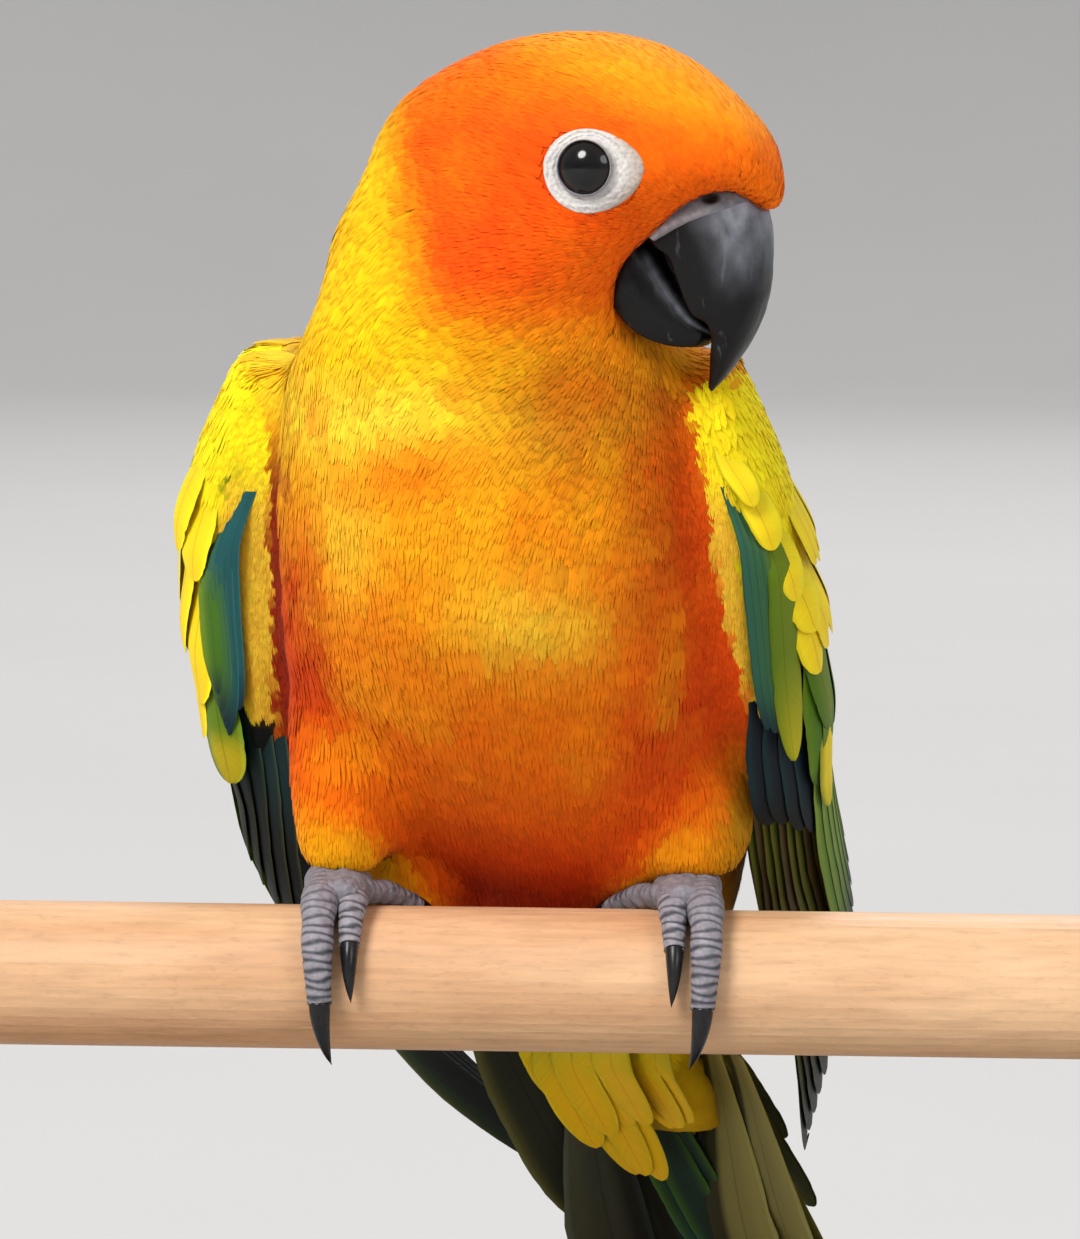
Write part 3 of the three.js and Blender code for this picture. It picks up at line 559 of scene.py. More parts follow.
def joined(bodies):
    """One set of triangles from bodies, each with its points and groups of triangles or quads."""
    points, faces, start = [], [], 0
    for own, groups in bodies:
        for group in groups:
            faces.append(group[:, :3] + start)
            if group.shape[1] == 4:
                faces.append(group[:, [0, 2, 3]] + start)
        points.append(own)
        start += len(own)
    return np.concatenate(points), np.concatenate(faces)


def flesh():
    """Triangles of the body's nodes; the lids fill the sockets."""
    names = ("torso", "neck", "head", "thigh_left", "thigh_right", "lid_left", "lid_right")
    nodes = [read_mesh(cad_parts[name].data) for name in names]
    return joined([(points, [triangles]) for points, _, triangles in nodes])


def remeshed(points, faces, even):
    """Points, normals and triangles of the even outer surface, and its mesh."""
    source = placed("flesh", mesh_of("flesh", points, faces))
    remesh = source.modifiers.new("remesh", "REMESH")
    remesh.mode = "VOXEL"
    remesh.voxel_size = VOXEL
    smoothing = source.modifiers.new("even", "SMOOTH")
    smoothing.factor = 0.5
    smoothing.iterations = even
    graph = bpy.context.evaluated_depsgraph_get()
    mesh = bpy.data.meshes.new_from_object(source.evaluated_get(graph))
    bpy.data.objects.remove(source)
    return *read_mesh(mesh), mesh


# Filler of the belly: middle and radii
BELLY_PAD = ((-12.5, 13.0, 10.5), (7.5, 6.5, 9.0))
CREASE = 3.2
FACE_DEPTH = 0.7
# Places where the skin is pushed out or down: middle, radius and shift
BULGES = (
    (head_point(26.4, 0, 1.6), 4.6, 0.8 * head_forward - 4.0 * UP),
    (np.array([27.0, 2.0, 20.0]), 8.0, np.array([2.6, 0.0, 0.0])),
    (np.array([-11.0, 4.0, 11.0]), 6.0, np.array([-3.6, -1.0, -2.4])),
    (np.array([-24.5, -1.0, 38.0]), 10.0, np.array([-2.2, -0.6, 0.0])),
)


def build_skin():
    """The creases between thighs, body and head are filled by growing and shrinking the body."""
    points, normals, tri, _ = remeshed(*flesh(), 6)
    points, normals, tri, _ = remeshed(points + normals * CREASE, tri, 6)
    core = (points - normals * CREASE, [tri])
    body = joined([core, wing_bed(-1), wing_bed(1), tail_bed(), pad(*BELLY_PAD)])
    points, normals, tri, mesh = remeshed(*body, 12)
    depth = mix(COAT_DEPTH, FACE_DEPTH, smooth(points[:, 2], 84, 94))
    sunk = points - normals * depth[:, None]
    for middle, radius, shift in BULGES:
        near = np.exp(-np.sum(((sunk - middle) / radius) ** 2, 1))
        sunk = sunk + near[:, None] * shift
    for leg in LEG_X:
        near = fade(np.abs(sunk[:, 0] - leg), 5, 12) * fade(sunk[:, 1], 4, 13)
        sunk[:, 2] -= near * np.clip(22 - sunk[:, 2], 0, 8) * 0.4
    mesh.vertices.foreach_set("co", to_world(sunk).astype(np.float32).ravel())
    mesh.update()
    return mesh, sunk, normals, tri


skin_mesh, skin_points, skin_normals, skin_triangles = build_skin()
skin_tree = BVHTree.FromPolygons(skin_points.tolist(), skin_triangles.tolist())
# Height given where no skin lies in that direction
MISSED = -9.0


def skin_over(points, outward, start):
    """How far the skin lies beyond each point along outward, MISSED where a ray from start misses it."""
    heights = []
    for p in points.reshape(-1, 3):
        hit = skin_tree.ray_cast(Vector(p + outward * start), Vector(-outward))[0]
        heights.append(MISSED if hit is None else (np.array(hit) - p) @ outward)
    return np.array(heights).reshape(points.shape[:-1])


AXIS = np.concatenate([
    body_point([0, 0, 0, 0, 0, 0], [46, 37, 25, 11, 1, -4], [-18, -2, 18, 40, 58, 72]),
    [[-3, -6, 80], [-2, -8, 86], [3, -11.5, 93], [6, -13, 100], [7, -13, 117]],
])


def along_axis(points):
    """Distance along the body's axis from the tail root to the crown, the place there and the length."""
    best = np.full(len(points), 1e9)
    arc = np.zeros(len(points))
    middle = np.zeros((len(points), 3))
    start = 0.0
    for a, b in zip(AXIS[:-1], AXIS[1:]):
        span = b - a
        length = np.linalg.norm(span)
        t = np.clip((points - a) @ span / length**2, 0, 1)
        q = a + t[:, None] * span
        distance = np.linalg.norm(points - q, axis=1)
        nearer = distance < best
        best = np.where(nearer, distance, best)
        arc = np.where(nearer, start + t * length, arc)
        middle = np.where(nearer[:, None], q, middle)
        start += length
    return arc, middle, start


def lie(points, normals, wing):
    """Direction in which the feathers lie, along the skin."""
    distance = np.linalg.norm(points - BILL_BASE, axis=1)
    radial = unit(points - BILL_BASE)
    slope = smooth(points[:, 2], -20, 45)[:, None]
    tailward = unit(mix(0.62 * body_back - 0.8 * UP, -UP + 0.12 * body_back, slope))
    direction = mix(radial, tailward, smooth(distance, 26, 58)[:, None])
    u = np.maximum(wing[:, 1], 3.0)
    for side in (-1, 1):
        v = np.where(wing[:, 2] < 0, np.maximum(wing[:, 2], -20) * WING_WRAP[side], wing[:, 2])
        along = unit(wing_point(side, u + 1, v, 0.0) - wing_point(side, u - 1, v, 0.0))
        share = (wing[:, 0] == side) * fade(wing[:, 3], *BED_LIMITS)
        direction = mix(direction, along, share[:, None])
    return on_plane(direction, normals)


def unwrapped(points):
    """Place of each point on an unwrap round the body's axis."""
    arc, middle, total = along_axis(points)
    off = points - middle
    angle = np.arctan2(off @ body_side, off @ -body_back) / (2 * np.pi) + 0.5
    return np.stack([0.01 + 0.98 * angle, 0.01 + 0.98 * arc / total], 1)


# Feathers of the body: each a fan of narrow barbs from one root, laid along the skin
WANTED_ROOTS = 90000
PIECE_TRIANGLES = 190000
# Side of the cells in which near roots are looked for, no less than the widest spacing
CELL = 1.8
# Fans whose tip faces further from the root's facing than this cosine are left out
LEAST_COSINE = 0.45
# Height of the barbs' roots over the skin, and half the size of a fan's patch on the bake map
COAT_BASE = 0.12
BAKE_PATCH = 0.0015
# Groups of the coat with the barbs of each fan
BARBS = {"face": 5, "neck": 9, "body": 13}
# Places along a barb: share of its length, spread across the fan and thickness
BARB_STEPS = ((0.0, 0.4, 0.5), (0.5, 0.86, 0.7), (0.86, 0.98, 0.5), (1.0, 1.0, 0.0))
BARB_TRIANGLES = np.array([[0, 1, 2], [1, 3, 2], [2, 3, 4], [3, 5, 4], [4, 5, 6]])


def scatter(points, normals, tri, spacing_of):
    """Roots over the skin by random draws, those nearer than the spacing dropped."""
    a, b, c = points[tri[:, 0]], points[tri[:, 1]], points[tri[:, 2]]
    area = np.linalg.norm(np.cross(b - a, c - a), axis=1) / 2
    spacing = spacing_of((a + b + c) / 3)
    weight = np.where(spacing > 0, area / np.maximum(spacing, 0.1) ** 2, 0)
    picked = rng.choice(len(tri), size=WANTED_ROOTS, p=weight / weight.sum())
    r1, r2 = rng.random((2, WANTED_ROOTS))
    swap = r1 + r2 > 1
    r1, r2 = np.where(swap, 1 - r1, r1)[:, None], np.where(swap, 1 - r2, r2)[:, None]
    roots = a[picked] + r1 * (b - a)[picked] + r2 * (c - a)[picked]
    n = normals[tri[picked]]
    n = unit(n[:, 0] * (1 - r1 - r2) + n[:, 1] * r1 + n[:, 2] * r2)
    gap = spacing[picked]
    keys = np.floor(roots / CELL).astype(int).tolist()
    around = [(x, y, z) for x in (-1, 0, 1) for y in (-1, 0, 1) for z in (-1, 0, 1)]
    cells, kept = {}, []
    places = roots.tolist()
    for k in range(WANTED_ROOTS):
        x, y, z = keys[k]
        px, py, pz = places[k]
        limit = gap[k] ** 2
        near = any(
            (px - qx) ** 2 + (py - qy) ** 2 + (pz - qz) ** 2 < limit
            for dx, dy, dz in around
            for qx, qy, qz in cells.get((x + dx, y + dy, z + dz), ())
        )
        if not near:
            cells.setdefault((x, y, z), []).append(places[k])
            kept.append(k)
    return roots[kept], n[kept]


MARCH = 3


def laid(roots, normals, directions, length, width):
    """Middle line of each feather along the skin: places, normals, directions and droop of either edge."""
    count = len(roots)
    places = np.zeros((count, MARCH + 1, 3))
    up = np.zeros_like(places)
    ahead = np.zeros_like(places)
    droop = np.zeros((count, MARCH + 1, 2))
    places[:, 0], up[:, 0], ahead[:, 0] = roots, normals, directions
    for k in range(1, MARCH + 1):
        reach = places[:, k - 1] + ahead[:, k - 1] * (length / MARCH)[:, None]
        found = [skin_tree.find_nearest(p) for p in reach.tolist()]
        here = np.array([f[0] for f in found])
        facing = np.array([f[1] for f in found])
        facing = unit(mix(up[:, k - 1], facing, 0.6))
        places[:, k], up[:, k], ahead[:, k] = here, facing, on_plane(ahead[:, k - 1], facing)
    sides = unit(np.cross(ahead, up))
    for k in (1, MARCH):
        for s, sign in enumerate((-1, 1)):
            reach = places[:, k] + sign * sides[:, k] * (width * 0.5)[:, None]
            here = np.array([skin_tree.find_nearest(p)[0] for p in reach.tolist()])
            droop[:, k, s] = np.sum((here - reach) * up[:, k], 1)
    droop[:, 0] = droop[:, 1]
    for k in range(2, MARCH):
        droop[:, k] = mix(droop[:, 1], droop[:, MARCH], (k - 1) / (MARCH - 1))
    return places, up, ahead, sides, np.clip(droop, -2.5, 2.5)


def at_share(values, share):
    """Values of the stations (count, MARCH + 1, ...) at shares (count, barbs) along the feather."""
    t = np.clip(share, 0, 1) * MARCH
    low = np.minimum(t.astype(int), MARCH - 1)
    part = (t - low)[..., None]
    rows = np.arange(len(values))[:, None]
    return values[rows, low] * (1 - part) + values[rows, low + 1] * part


def fans(roots, normals, directions, length, width, barbs, lift, tints, uv):
    """Points, triangles, colours, normals and places on the unwrap of a fan of barbs at each root."""
    line = laid(roots, normals, directions, length, width)
    even = np.sum(line[1][:, MARCH] * line[1][:, 0], 1) > LEAST_COSINE
    places, up, ahead, sides, droop = [values[even] for values in line]
    length, width, lift, tints, uv = length[even], width[even], lift[even], tints[even], uv[even]
    count = len(places)
    x = np.linspace(-1, 1, barbs)[None, :]
    stray = rng.normal(0, 1, (count, barbs, 3))
    reach = 1 - 0.22 * np.abs(x) ** 2.2 + 0.08 * stray[..., 0]
    rows, shares = [], []
    tone = (1 + 0.035 * rng.normal(0, 1, (count, 1)) + 0.03 * stray[..., 2])[..., None]
    warm = 1 + 0.045 * rng.normal(0, 1, (count, 1, 1)) * np.array([0, 1, 0.5])
    bend = x[..., None]
    colours, shading = [], []
    for share, spread, thick in BARB_STEPS:
        t = reach * share
        across = x * width[:, None] / 2 * spread + 0.03 * width[:, None] * stray[..., 1] * share
        fall = at_share(droop, t)
        fall = np.where(x < 0, fall[..., 0], fall[..., 1]) * (across / (width[:, None] / 2)) ** 2
        rise = t * (length * np.tan(lift))[:, None]
        height = COAT_BASE + rise + fall - 0.04 * width[:, None] * x**2 * share
        half = thick * width[:, None] / barbs
        centre, n, s = at_share(places, t), at_share(up, t), at_share(sides, t)
        # Painted shade toward the root of each barb, where it lies under the feathers over it
        shaded_tints = tone * warm * tints[:, None] * mix(0.91, 1.02, smooth(t, 0.15, 0.8))[..., None]
        facing = unit(n + 0.22 * bend * s + 0.1 * t[..., None] * at_share(ahead, t))
        for sign in ((-1, 1) if thick > 0 else (0,)):
            rows.append(centre + s * (across + sign * half)[..., None] + n * height[..., None])
            colours.append(shaded_tints)
            shading.append(facing)
            shares.append(share)
    points = np.stack(rows, 2)
    per = len(rows)
    index = np.arange(count * barbs)[:, None, None] * per + BARB_TRIANGLES
    shape = (count, barbs, per)
    place = np.stack([
        np.broadcast_to(x[:, :, None] * BAKE_PATCH, shape),
        np.broadcast_to((np.array(shares) - 0.5)[None, None] * 2 * BAKE_PATCH, shape),
    ], -1) + uv[:, None, None]
    return (
        points.reshape(-1, 3), index.reshape(-1, 3), np.stack(colours, 2).reshape(-1, 3),
        np.stack(shading, 2).reshape(-1, 3), place.reshape(-1, 2),
    )


def on_head(points):
    off = points - HEAD
    return off @ head_forward, np.abs(off @ head_right), off[:, 2]


def eye_ring(points):
    """How far a point lies from an eye, 1 on the outer edge of the bare ring, large elsewhere."""
    ahead, aside, up = on_head(points)
    wide = np.where(ahead > 8.7, 6.6, 5.1)
    tall = np.where(up > 1.6, 4.5, 5.4)
    ring = np.hypot((ahead - 8.7) / wide, (up - 1.6) / tall)
    return np.where(aside > 8, ring, 9.0)


def band_share(side, u, w, distance):
    """Share of the small feathers along a wing's front edge."""
    beyond = wing_edge(side, u) - w
    return fade(beyond, 4, 8) * (w < -15) * smooth(u, 0, 6) * (w > -50) * (distance < 3.2)


# Distance between roots, which widens away from the bill: limits of each step, then the new distance
CLOSEST = 0.55
SPACING = ((8, 26, 0.86), (26, 50, 1.2), (50, 80, 1.5))


def spacing_over(points):
    """Distance between roots, 0 where no body feather grows."""
    from_bill = np.linalg.norm(points - BILL_BASE, axis=1)
    spacing = CLOSEST
    for near, far, wider in SPACING:
        spacing = mix(spacing, wider, smooth(from_bill, near, far))
    spacing = mix(spacing, 1.15, fade(points[:, 2], 20, 34) * smooth(from_bill, 50, 60))
    spacing = np.where(eye_ring(points) < 0.96, 0, spacing)
    ahead, aside, up = on_head(points)
    brow = -1.2 - 0.3 * np.maximum(ahead - 20, 0)
    in_bill = (aside < 6.2) & (up < brow) & (up > -18) & (ahead > 13.8 + 0.35 * up)
    spacing = np.where(in_bill, 0, spacing)
    side, u, w, distance = on_wing(points).T
    own = w > wing_edge(side, u)
    hidden = own & (((u > 26) & (w > -17)) | (u > 43)) | ((u > 20) & (w < -50) & (side < 0))
    spacing = np.where((distance < np.where(u > 50, 8.0, 3.4)) & hidden, 0, spacing)
    spacing = np.where(band_share(side, u, w, distance) > 0.5, np.minimum(spacing, 0.68), spacing)
    behind = (points - TAIL_ROOT) @ tail_run
    return np.where((behind > -1) & (points[:, 1] > 20), 0, spacing)


def body_coat():
    roots, normals = scatter(skin_points, skin_normals, skin_triangles, spacing_over)
    wing = on_wing(roots)
    directions = lie(roots, normals, wing)
    wander = 0.16 * mottle(roots, 5.0, 7.0) + rng.normal(0, 0.05, len(roots))
    directions = unit(directions + wander[:, None] * np.cross(normals, directions))
    from_bill = np.linalg.norm(roots - BILL_BASE, axis=1)
    small = smooth(from_bill, 6, 30)
    large = smooth(from_bill, 30, 75)
    on_bed = fade(wing[:, 3], *BED_LIMITS)
    length = mix(mix(1.7, 4.2, small), 7.6, large)
    width = mix(mix(0.9, 2.1, small), 5.0, large)
    length = mix(length, 5.4, on_bed) * rng.uniform(0.9, 1.1, len(roots))
    width = mix(width, 4.2, on_bed)
    on_leg, in_band = fade(roots[:, 2], 20, 34), band_share(*wing.T)
    for share, long, wide in ((on_leg, 5.2, 3.2), (in_band, 3.3, 1.25)):
        length, width = mix(length, long, share), mix(width, wide, share)
    lift = np.radians(mix(6, 3.4, smooth(from_bill, 10, 50))) * (1 + 0.25 * mottle(roots, 6.0, 21.0))
    for share in (0.85, 0.6, 0.35):
        tip = roots + directions * length[:, None]
        length = np.where(eye_ring(tip) < 0.97, length * share, length)
    uv = unwrapped(roots)
    tints = plumage_colour(roots)
    groups = {"face": small < 0.999, "neck": (small >= 0.999) & (large < 0.6), "body": large >= 0.6}
    for name, barbs in BARBS.items():
        chosen = np.flatnonzero(groups[name])
        per_piece = PIECE_TRIANGLES // (barbs * len(BARB_TRIANGLES))
        for part, start in enumerate(range(0, len(chosen), per_piece)):
            k = chosen[start : start + per_piece]
            lay = (roots[k], normals[k], directions[k], length[k], width[k])
            data = fans(*lay, barbs, lift[k], tints[k], uv[k])
            piece(f"coat_{name}_{part + 1}", data, PLUMAGE, "plumage_orange")


# Vanes of wing and tail: each a thin curved lens with a rounded tip, a shaft and barbs
VANE_STATIONS = 26
VANE_ACROSS = 11


def vane_shape(share, tip_round, root_width):
    """Half width along the vane, as a share of the greatest."""
    body = mix(root_width, 1.0, smooth(share, 0, 0.45))
    end = np.clip((share - 1 + tip_round) / tip_round, 0, 1)
    return body * np.sqrt(np.maximum(1 - end**2.2, 0.0))


def vane(f, place, half, shaft, seed):
    """Points, quads, local coordinates and colours of one vane; place(share, x, rise) gives its points."""
    local = np.random.default_rng(seed)
    share = 1 - (1 - np.linspace(0, 1, VANE_STATIONS)) ** 1.4
    s, a = grid(share, np.linspace(-1, 1, VANE_ACROSS))
    notch = 1 + 0.012 * local.normal(0, 1, s.shape) * (np.abs(a) > 0.8)
    slit = np.zeros_like(s)
    for _ in range(2):
        middle, depth = local.uniform(0.35, 0.9), local.uniform(0.02, 0.07)
        which = local.choice([-1, 1])
        slit += depth * bell((s - middle + 0.1 * np.abs(a)) / 0.014) * (a * which > 0.55)
    across = a * half * vane_shape(s, f["round"], f["root_width"]) * notch * (1 - slit)
    lens = 0.11 * np.sqrt(np.maximum(1 - a**2, 0))
    ridge = 0.09 * bell((a - shaft) / 0.1) * (1 - s)
    upper, lower = place(s, across, lens + ridge), place(s, across, -lens)
    points = np.concatenate([upper.reshape(-1, 3), lower.reshape(-1, 3)])
    r, i = grid(np.arange(VANE_STATIONS - 1), np.arange(VANE_ACROSS - 1))
    k = (r * VANE_ACROSS + i).ravel()
    quads = np.stack([k, k + 1, k + 1 + VANE_ACROSS, k + VANE_ACROSS], 1)
    n = VANE_STATIONS * VANE_ACROSS
    rows = np.arange(VANE_STATIONS - 1) * VANE_ACROSS
    left = np.stack([rows, rows + VANE_ACROSS, rows + VANE_ACROSS + n, rows + n], 1)
    right = np.stack([rows + n, rows + VANE_ACROSS + n, rows + VANE_ACROSS, rows], 1) + VANE_ACROSS - 1
    faces = np.concatenate([quads, quads[:, ::-1] + n, left, right])
    coordinates = np.stack([a - shaft, s, np.full_like(s, local.random())], -1).reshape(-1, 3)
    coordinates = np.tile(coordinates, (2, 1))
    return points, faces, coordinates, f["marking"](f, coordinates[:, 0], coordinates[:, 1])


def collect(name, parts, slot, *nodes):
    """One piece from many vanes, each with its own cell on the bake map."""
    points, faces, colours, vanes, uvs, start = [], [], [], [], [], 0
    across = math.ceil(math.sqrt(len(parts)))
    for k, (p, f, v, c) in enumerate(parts):
        points.append(p)
        faces.append(f + start)
        colours.append(c)
        vanes.append(v)
        local = np.stack([0.25 + 0.15 * v[:, 0], 0.04 + 0.92 * v[:, 1]], 1)
        local[len(v) // 2 :, 0] += 0.5
        uvs.append((np.array([k % across, k // across]) + local) / across)
        start += len(p)
    points, faces, colours, uvs, vanes = map(np.concatenate, (points, faces, colours, uvs, vanes))
    piece(name, (points, faces, colours, None, uvs, vanes), VANE, slot, *nodes)


# Markings of the vanes, each told by the feather, x across from its shaft and s from root to tip
def edge_of(x, low=0.4, high=0.95):
    return smooth(np.abs(x), low, high)


def teal_covert(f, x, s):
    """Primary covert: green toward the back of the wing, teal and then blue-black toward its tip."""
    green = f["order"] / 3
    edge = smooth(x, 0.2, 0.9) * 0.5 * green
    return layered(TEAL, (LEAF, green * 0.9), (MOSS, edge), (NAVY, smooth(s, 0.72, 1.0) * 0.8))


def yellow_covert(f, x, s):
    return layered(WING_YELLOW, (MANTLE, 0.35 * bell(x / 0.5)), (MOSS, 0.16 * fade(s, 0.2, 0.7)))


def moss_covert(f, x, s):
    """The long one turns yellow at its tip, the one behind it stays green."""
    gold = 0.5 * smooth(s, 0.5, 1.0) * (1 - f["order"])
    green = mix(0.45, 0.85, f["order"]) * smooth(-x, -0.3, 0.7)
    return layered(MOSS * 0.7, (WING_YELLOW * 0.8, gold), (LEAF, green))


def sleeve_covert(f, x, s):
    """Green, with a yellow tip that keeps green sides."""
    tip = smooth(s, 0.62, 0.85) * (1 - edge_of(x, 0.45))
    return paint(LEAF * 1.2, WING_YELLOW * 0.52, np.maximum(tip, 0.1))


def edge_covert(f, x, s):
    return layered(
        WING_YELLOW * 0.85, (LEAF, 0.7 * smooth(-x, 0.2, 0.8)), (MOSS, 0.3 * smooth(s, 0.8, 1.0))
    )


def leaf_covert(f, x, s):
    return layered(LEAF, (MOSS, 0.5 * smooth(-x, 0.1, 0.9)), (NAVY, 0.6 * smooth(s, 0.8, 1.0)))


def navy_quill(f, x, s):
    return layered(NAVY * 0.5, (TEAL, 0.3 * smooth(-x, 0.1, 0.9)), (SLATE * 0.5, smooth(s, 0.6, 1.0)))


def slate_quill(f, x, s):
    return layered(
        SLATE * 0.5, (TEAL * 0.5, 0.5 * fade(s, 0.3, 0.6)), (OLIVE * 0.6, 0.45 * smooth(-x, 0.5, 1.0))
    )


def primary(f, x, s):
    """Flight feather: green outer vane with a narrow pale edge, blue-black inner vane and tip."""
    brown = 0.8 if f["order"] % 3 == 1 else 0.0
    return layered(
        LEAF * 0.35,
        (OLIVE, 0.85 * smooth(-x, 0.4, 0.8)),
        (SLATE * 0.6, smooth(x, -0.35, 0.2) * 0.9),
        (BARK * 1.6, brown * smooth(-x, 0.0, 0.6)),
        (SLATE * 0.4, smooth(s, 0.5, 0.9) * 0.9),
    )


def secondary(f, x, s):
    return layered(
        LEAF,
        (MOSS * 1.4, 0.7 * smooth(-x, 0.35, 0.8)),
        (NAVY, smooth(x, 0.0, 0.6) * 0.7),
        (NAVY, smooth(s, 0.6, 0.95) * 0.85),
    )


def tertial(f, x, s):
    dark = 0.8 * smooth(s, 0.75, 1.0) * (1 - edge_of(x))
    return layered(LEAF, (WING_YELLOW, 0.85 * edge_of(x, 0.3, 0.9)), (NAVY, dark))


def mantle_feather(f, x, s):
    """Golden feather of the upper back, yellow at its edges and a little green at its tip."""
    green = 0.4 * smooth(s, 0.8, 1.0) * f["green"]
    return layered(MANTLE, (WING_YELLOW, 0.7 * edge_of(x)), (MOSS, green))


def under_covert(f, x, s):
    return layered(
        VENT_YELLOW,
        (MOSS, 0.3 * edge_of(x, 0.7, 1.0)),
        (MANTLE, 0.4 * bell(x / 0.4)),
        (MOSS, 0.5 * fade(s, 0.3, 0.6)),
    )


def dark_covert(f, x, s):
    return layered(PINE, (LEAF, 0.5 * edge_of(x)), (TEAL, 0.5 * smooth(s, 0.6, 1.0)))


def flank_quill(f, x, s):
    """Long dark feather beside the tail's root."""
    return layered(SOOT, (SOOT_EDGE, smooth(x, 0.2, 0.7)), (OLIVE, 0.35 * smooth(-x, 0.5, 0.9)))


def upper_covert(f, x, s):
    return layered(DULL_OLIVE, (WING_YELLOW, 0.6 * fade(s, 0.1, 0.6)), (SLATE, 0.5 * smooth(x, -0.2, 0.5)))


def tail_quill(f, x, s):
    """Olive below on the left feathers and dark grey green on the right, with blackish inner edges."""
    outward = x * f["sign"]
    if f["sign"] > 0:
        out = layered(
            TAIL_OLIVE,
            (TAIL_PALE, smooth(outward, 0.1, 0.7) * 0.7),
            (TAIL_OLIVE_EDGE, smooth(-outward, 0.35, 0.6) * 0.9),
            (TAIL_RIM, smooth(outward, 0.84, 0.95) * 0.6),
        )
    else:
        out = layered(
            TAIL_GREY,
            (TAIL_GREY_PALE, smooth(outward, 0.1, 0.7) * 0.6),
            (TAIL_GREY_EDGE, smooth(-outward, 0.25, 0.6) * 0.9),
        )
    return layered(out, (TAIL_BLUE, smooth(s, 0.6, 0.95) * 0.75), (SLATE, smooth(s, 0.9, 1.0) * 0.5))


def row(
    count, root, tip, root_w, tip_w, height, half, tilt, marking, root_height=None, round_tip=0.22,
    root_width=0.5,
):
    """Feathers side by side: each pair is the value of the first and of the last feather."""
    made = []
    for k in range(count):
        share = k / max(count - 1, 1)
        top = mix(*height, share)
        made.append({
            "root": mix(*root, share), "tip": mix(*tip, share) + rng.uniform(-0.8, 0.8),
            "root_w": mix(*root_w, share), "tip_w": mix(*tip_w, share) + rng.uniform(-0.2, 0.2),
            "height": top, "root_height": top if root_height is None else root_height,
            "half": mix(*half, share), "tilt": tilt, "marking": marking, "round": round_tip,
            "root_width": root_width, "order": k, "emerge": 0.9,
        })
    return made


def single(marking, root, tip, half, height, order=0, round_tip=0.4, root_width=0.75, emerge=0.8):
    """One covert from root to tip, each given as u and w; its root lies under the tufts."""
    return {
        "root": root[0], "root_w": root[1], "tip": tip[0], "tip_w": tip[1], "height": height,
        "root_height": -1.8, "emerge": emerge, "half": half, "tilt": 2, "marking": marking,
        "round": round_tip, "root_width": root_width, "order": order,
    }


# Coverts of the visible face, from the hidden ones outward: the values of single
FACE_COVERTS = {
    -1: [
        (sleeve_covert, (30, -11.0), (54.5, -14.6), 4.0, 0.2, 0, 0.3),
        (yellow_covert, (28, -7.0), (50, -9.6), 3.4, 0.1),
        (teal_covert, (16.5, -21.0), (43.0, -17.4), 1.7, 0.1, 0, 0.8, 0.6, 0.24),
        (teal_covert, (17.5, -20.2), (47.0, -15.5), 1.8, 0.2, 0, 0.8, 0.7, 0.24),
        (teal_covert, (19.0, -19.0), (46.0, -15.3), 2.0, 0.25, 0.5, 0.9, 0.7, 0.24),
        (teal_covert, (20.5, -18.0), (45.0, -15.2), 2.2, 0.3, 1.4, 0.95, 0.7, 0.24),
        (teal_covert, (22.0, -17.0), (43.5, -15.1), 2.3, 0.35, 2.2, 0.95, 0.7, 0.24),
        (teal_covert, (23.5, -16.2), (41.0, -15.0), 2.2, 0.4, 3, 0.95, 0.7, 0.3),
        (yellow_covert, (24, -12.0), (44, -10.8), 4.0, 0.35, 0, 0.45, 0.7),
        (yellow_covert, (19, -7.4), (39, -6.6), 4.2, 0.4, 0, 0.45, 0.75),
        (yellow_covert, (16, -3.0), (34, -3.0), 4.2, 0.45, 0, 0.45, 0.75),
        (yellow_covert, (16, -13.6), (27.5, -13.2), 3.6, 0.45, 0, 0.5, 0.6),
        (yellow_covert, (12, -9.2), (25, -9.0), 4.0, 0.45, 0, 0.5, 0.7),
    ],
    1: [
        (edge_covert, (40, 4.0), (65.5, -0.5), 3.8, 0.4),
        (moss_covert, (28, -0.6), (53, 1.0), 3.8, 0.1, 1),
        (teal_covert, (15, -17.0), (46, -17.6), 1.9, 0.3, 1.0, 0.4, 0.4, 0.24),
        (teal_covert, (15.5, -15.6), (47, -16.0), 1.9, 0.35, 1.3, 0.4, 0.5, 0.24),
        (teal_covert, (16, -14.0), (48, -14.6), 1.9, 0.4, 1.6, 0.4, 0.6, 0.24),
        (moss_covert, (18, -9.6), (52.5, -12.2), 3.6, 0.6, 0, 0.4, 0.6, 0.25),
        (yellow_covert, (26, 2.4), (39, 2.2), 4.2, 0.5, 0, 0.45, 0.6),
        (yellow_covert, (23, -2.4), (36, -2.4), 4.2, 0.6, 0, 0.45, 0.6),
        (yellow_covert, (19, -6.6), (30.5, -6.4), 4.0, 0.7, 0, 0.45, 0.6),
        (yellow_covert, (14, -10.8), (22.8, -11.0), 3.8, 0.6, 0, 0.5, 0.6),
        (yellow_covert, (10.5, -14.4), (17.2, -13.6), 3.0, 0.6, 0, 0.6, 0.6),
    ],
}
# Where the feathers of a wing lie fuller: height, then the limits along u and w
WING_SWELL = {-1: (1.8, (27, 38, 50, 62), (-19, -12, -2, 8)), 1: (1.1, (27, 38, 50, 62), (-8, -2, 6, 14))}


def swell_at(side, u, w):
    height, (a, b, c, d), (e, f, g, h) = WING_SWELL[side]
    along = smooth(u, a, b) * fade(u, c, d)
    return height * along * smooth(w, e, f) * fade(w, g, h)


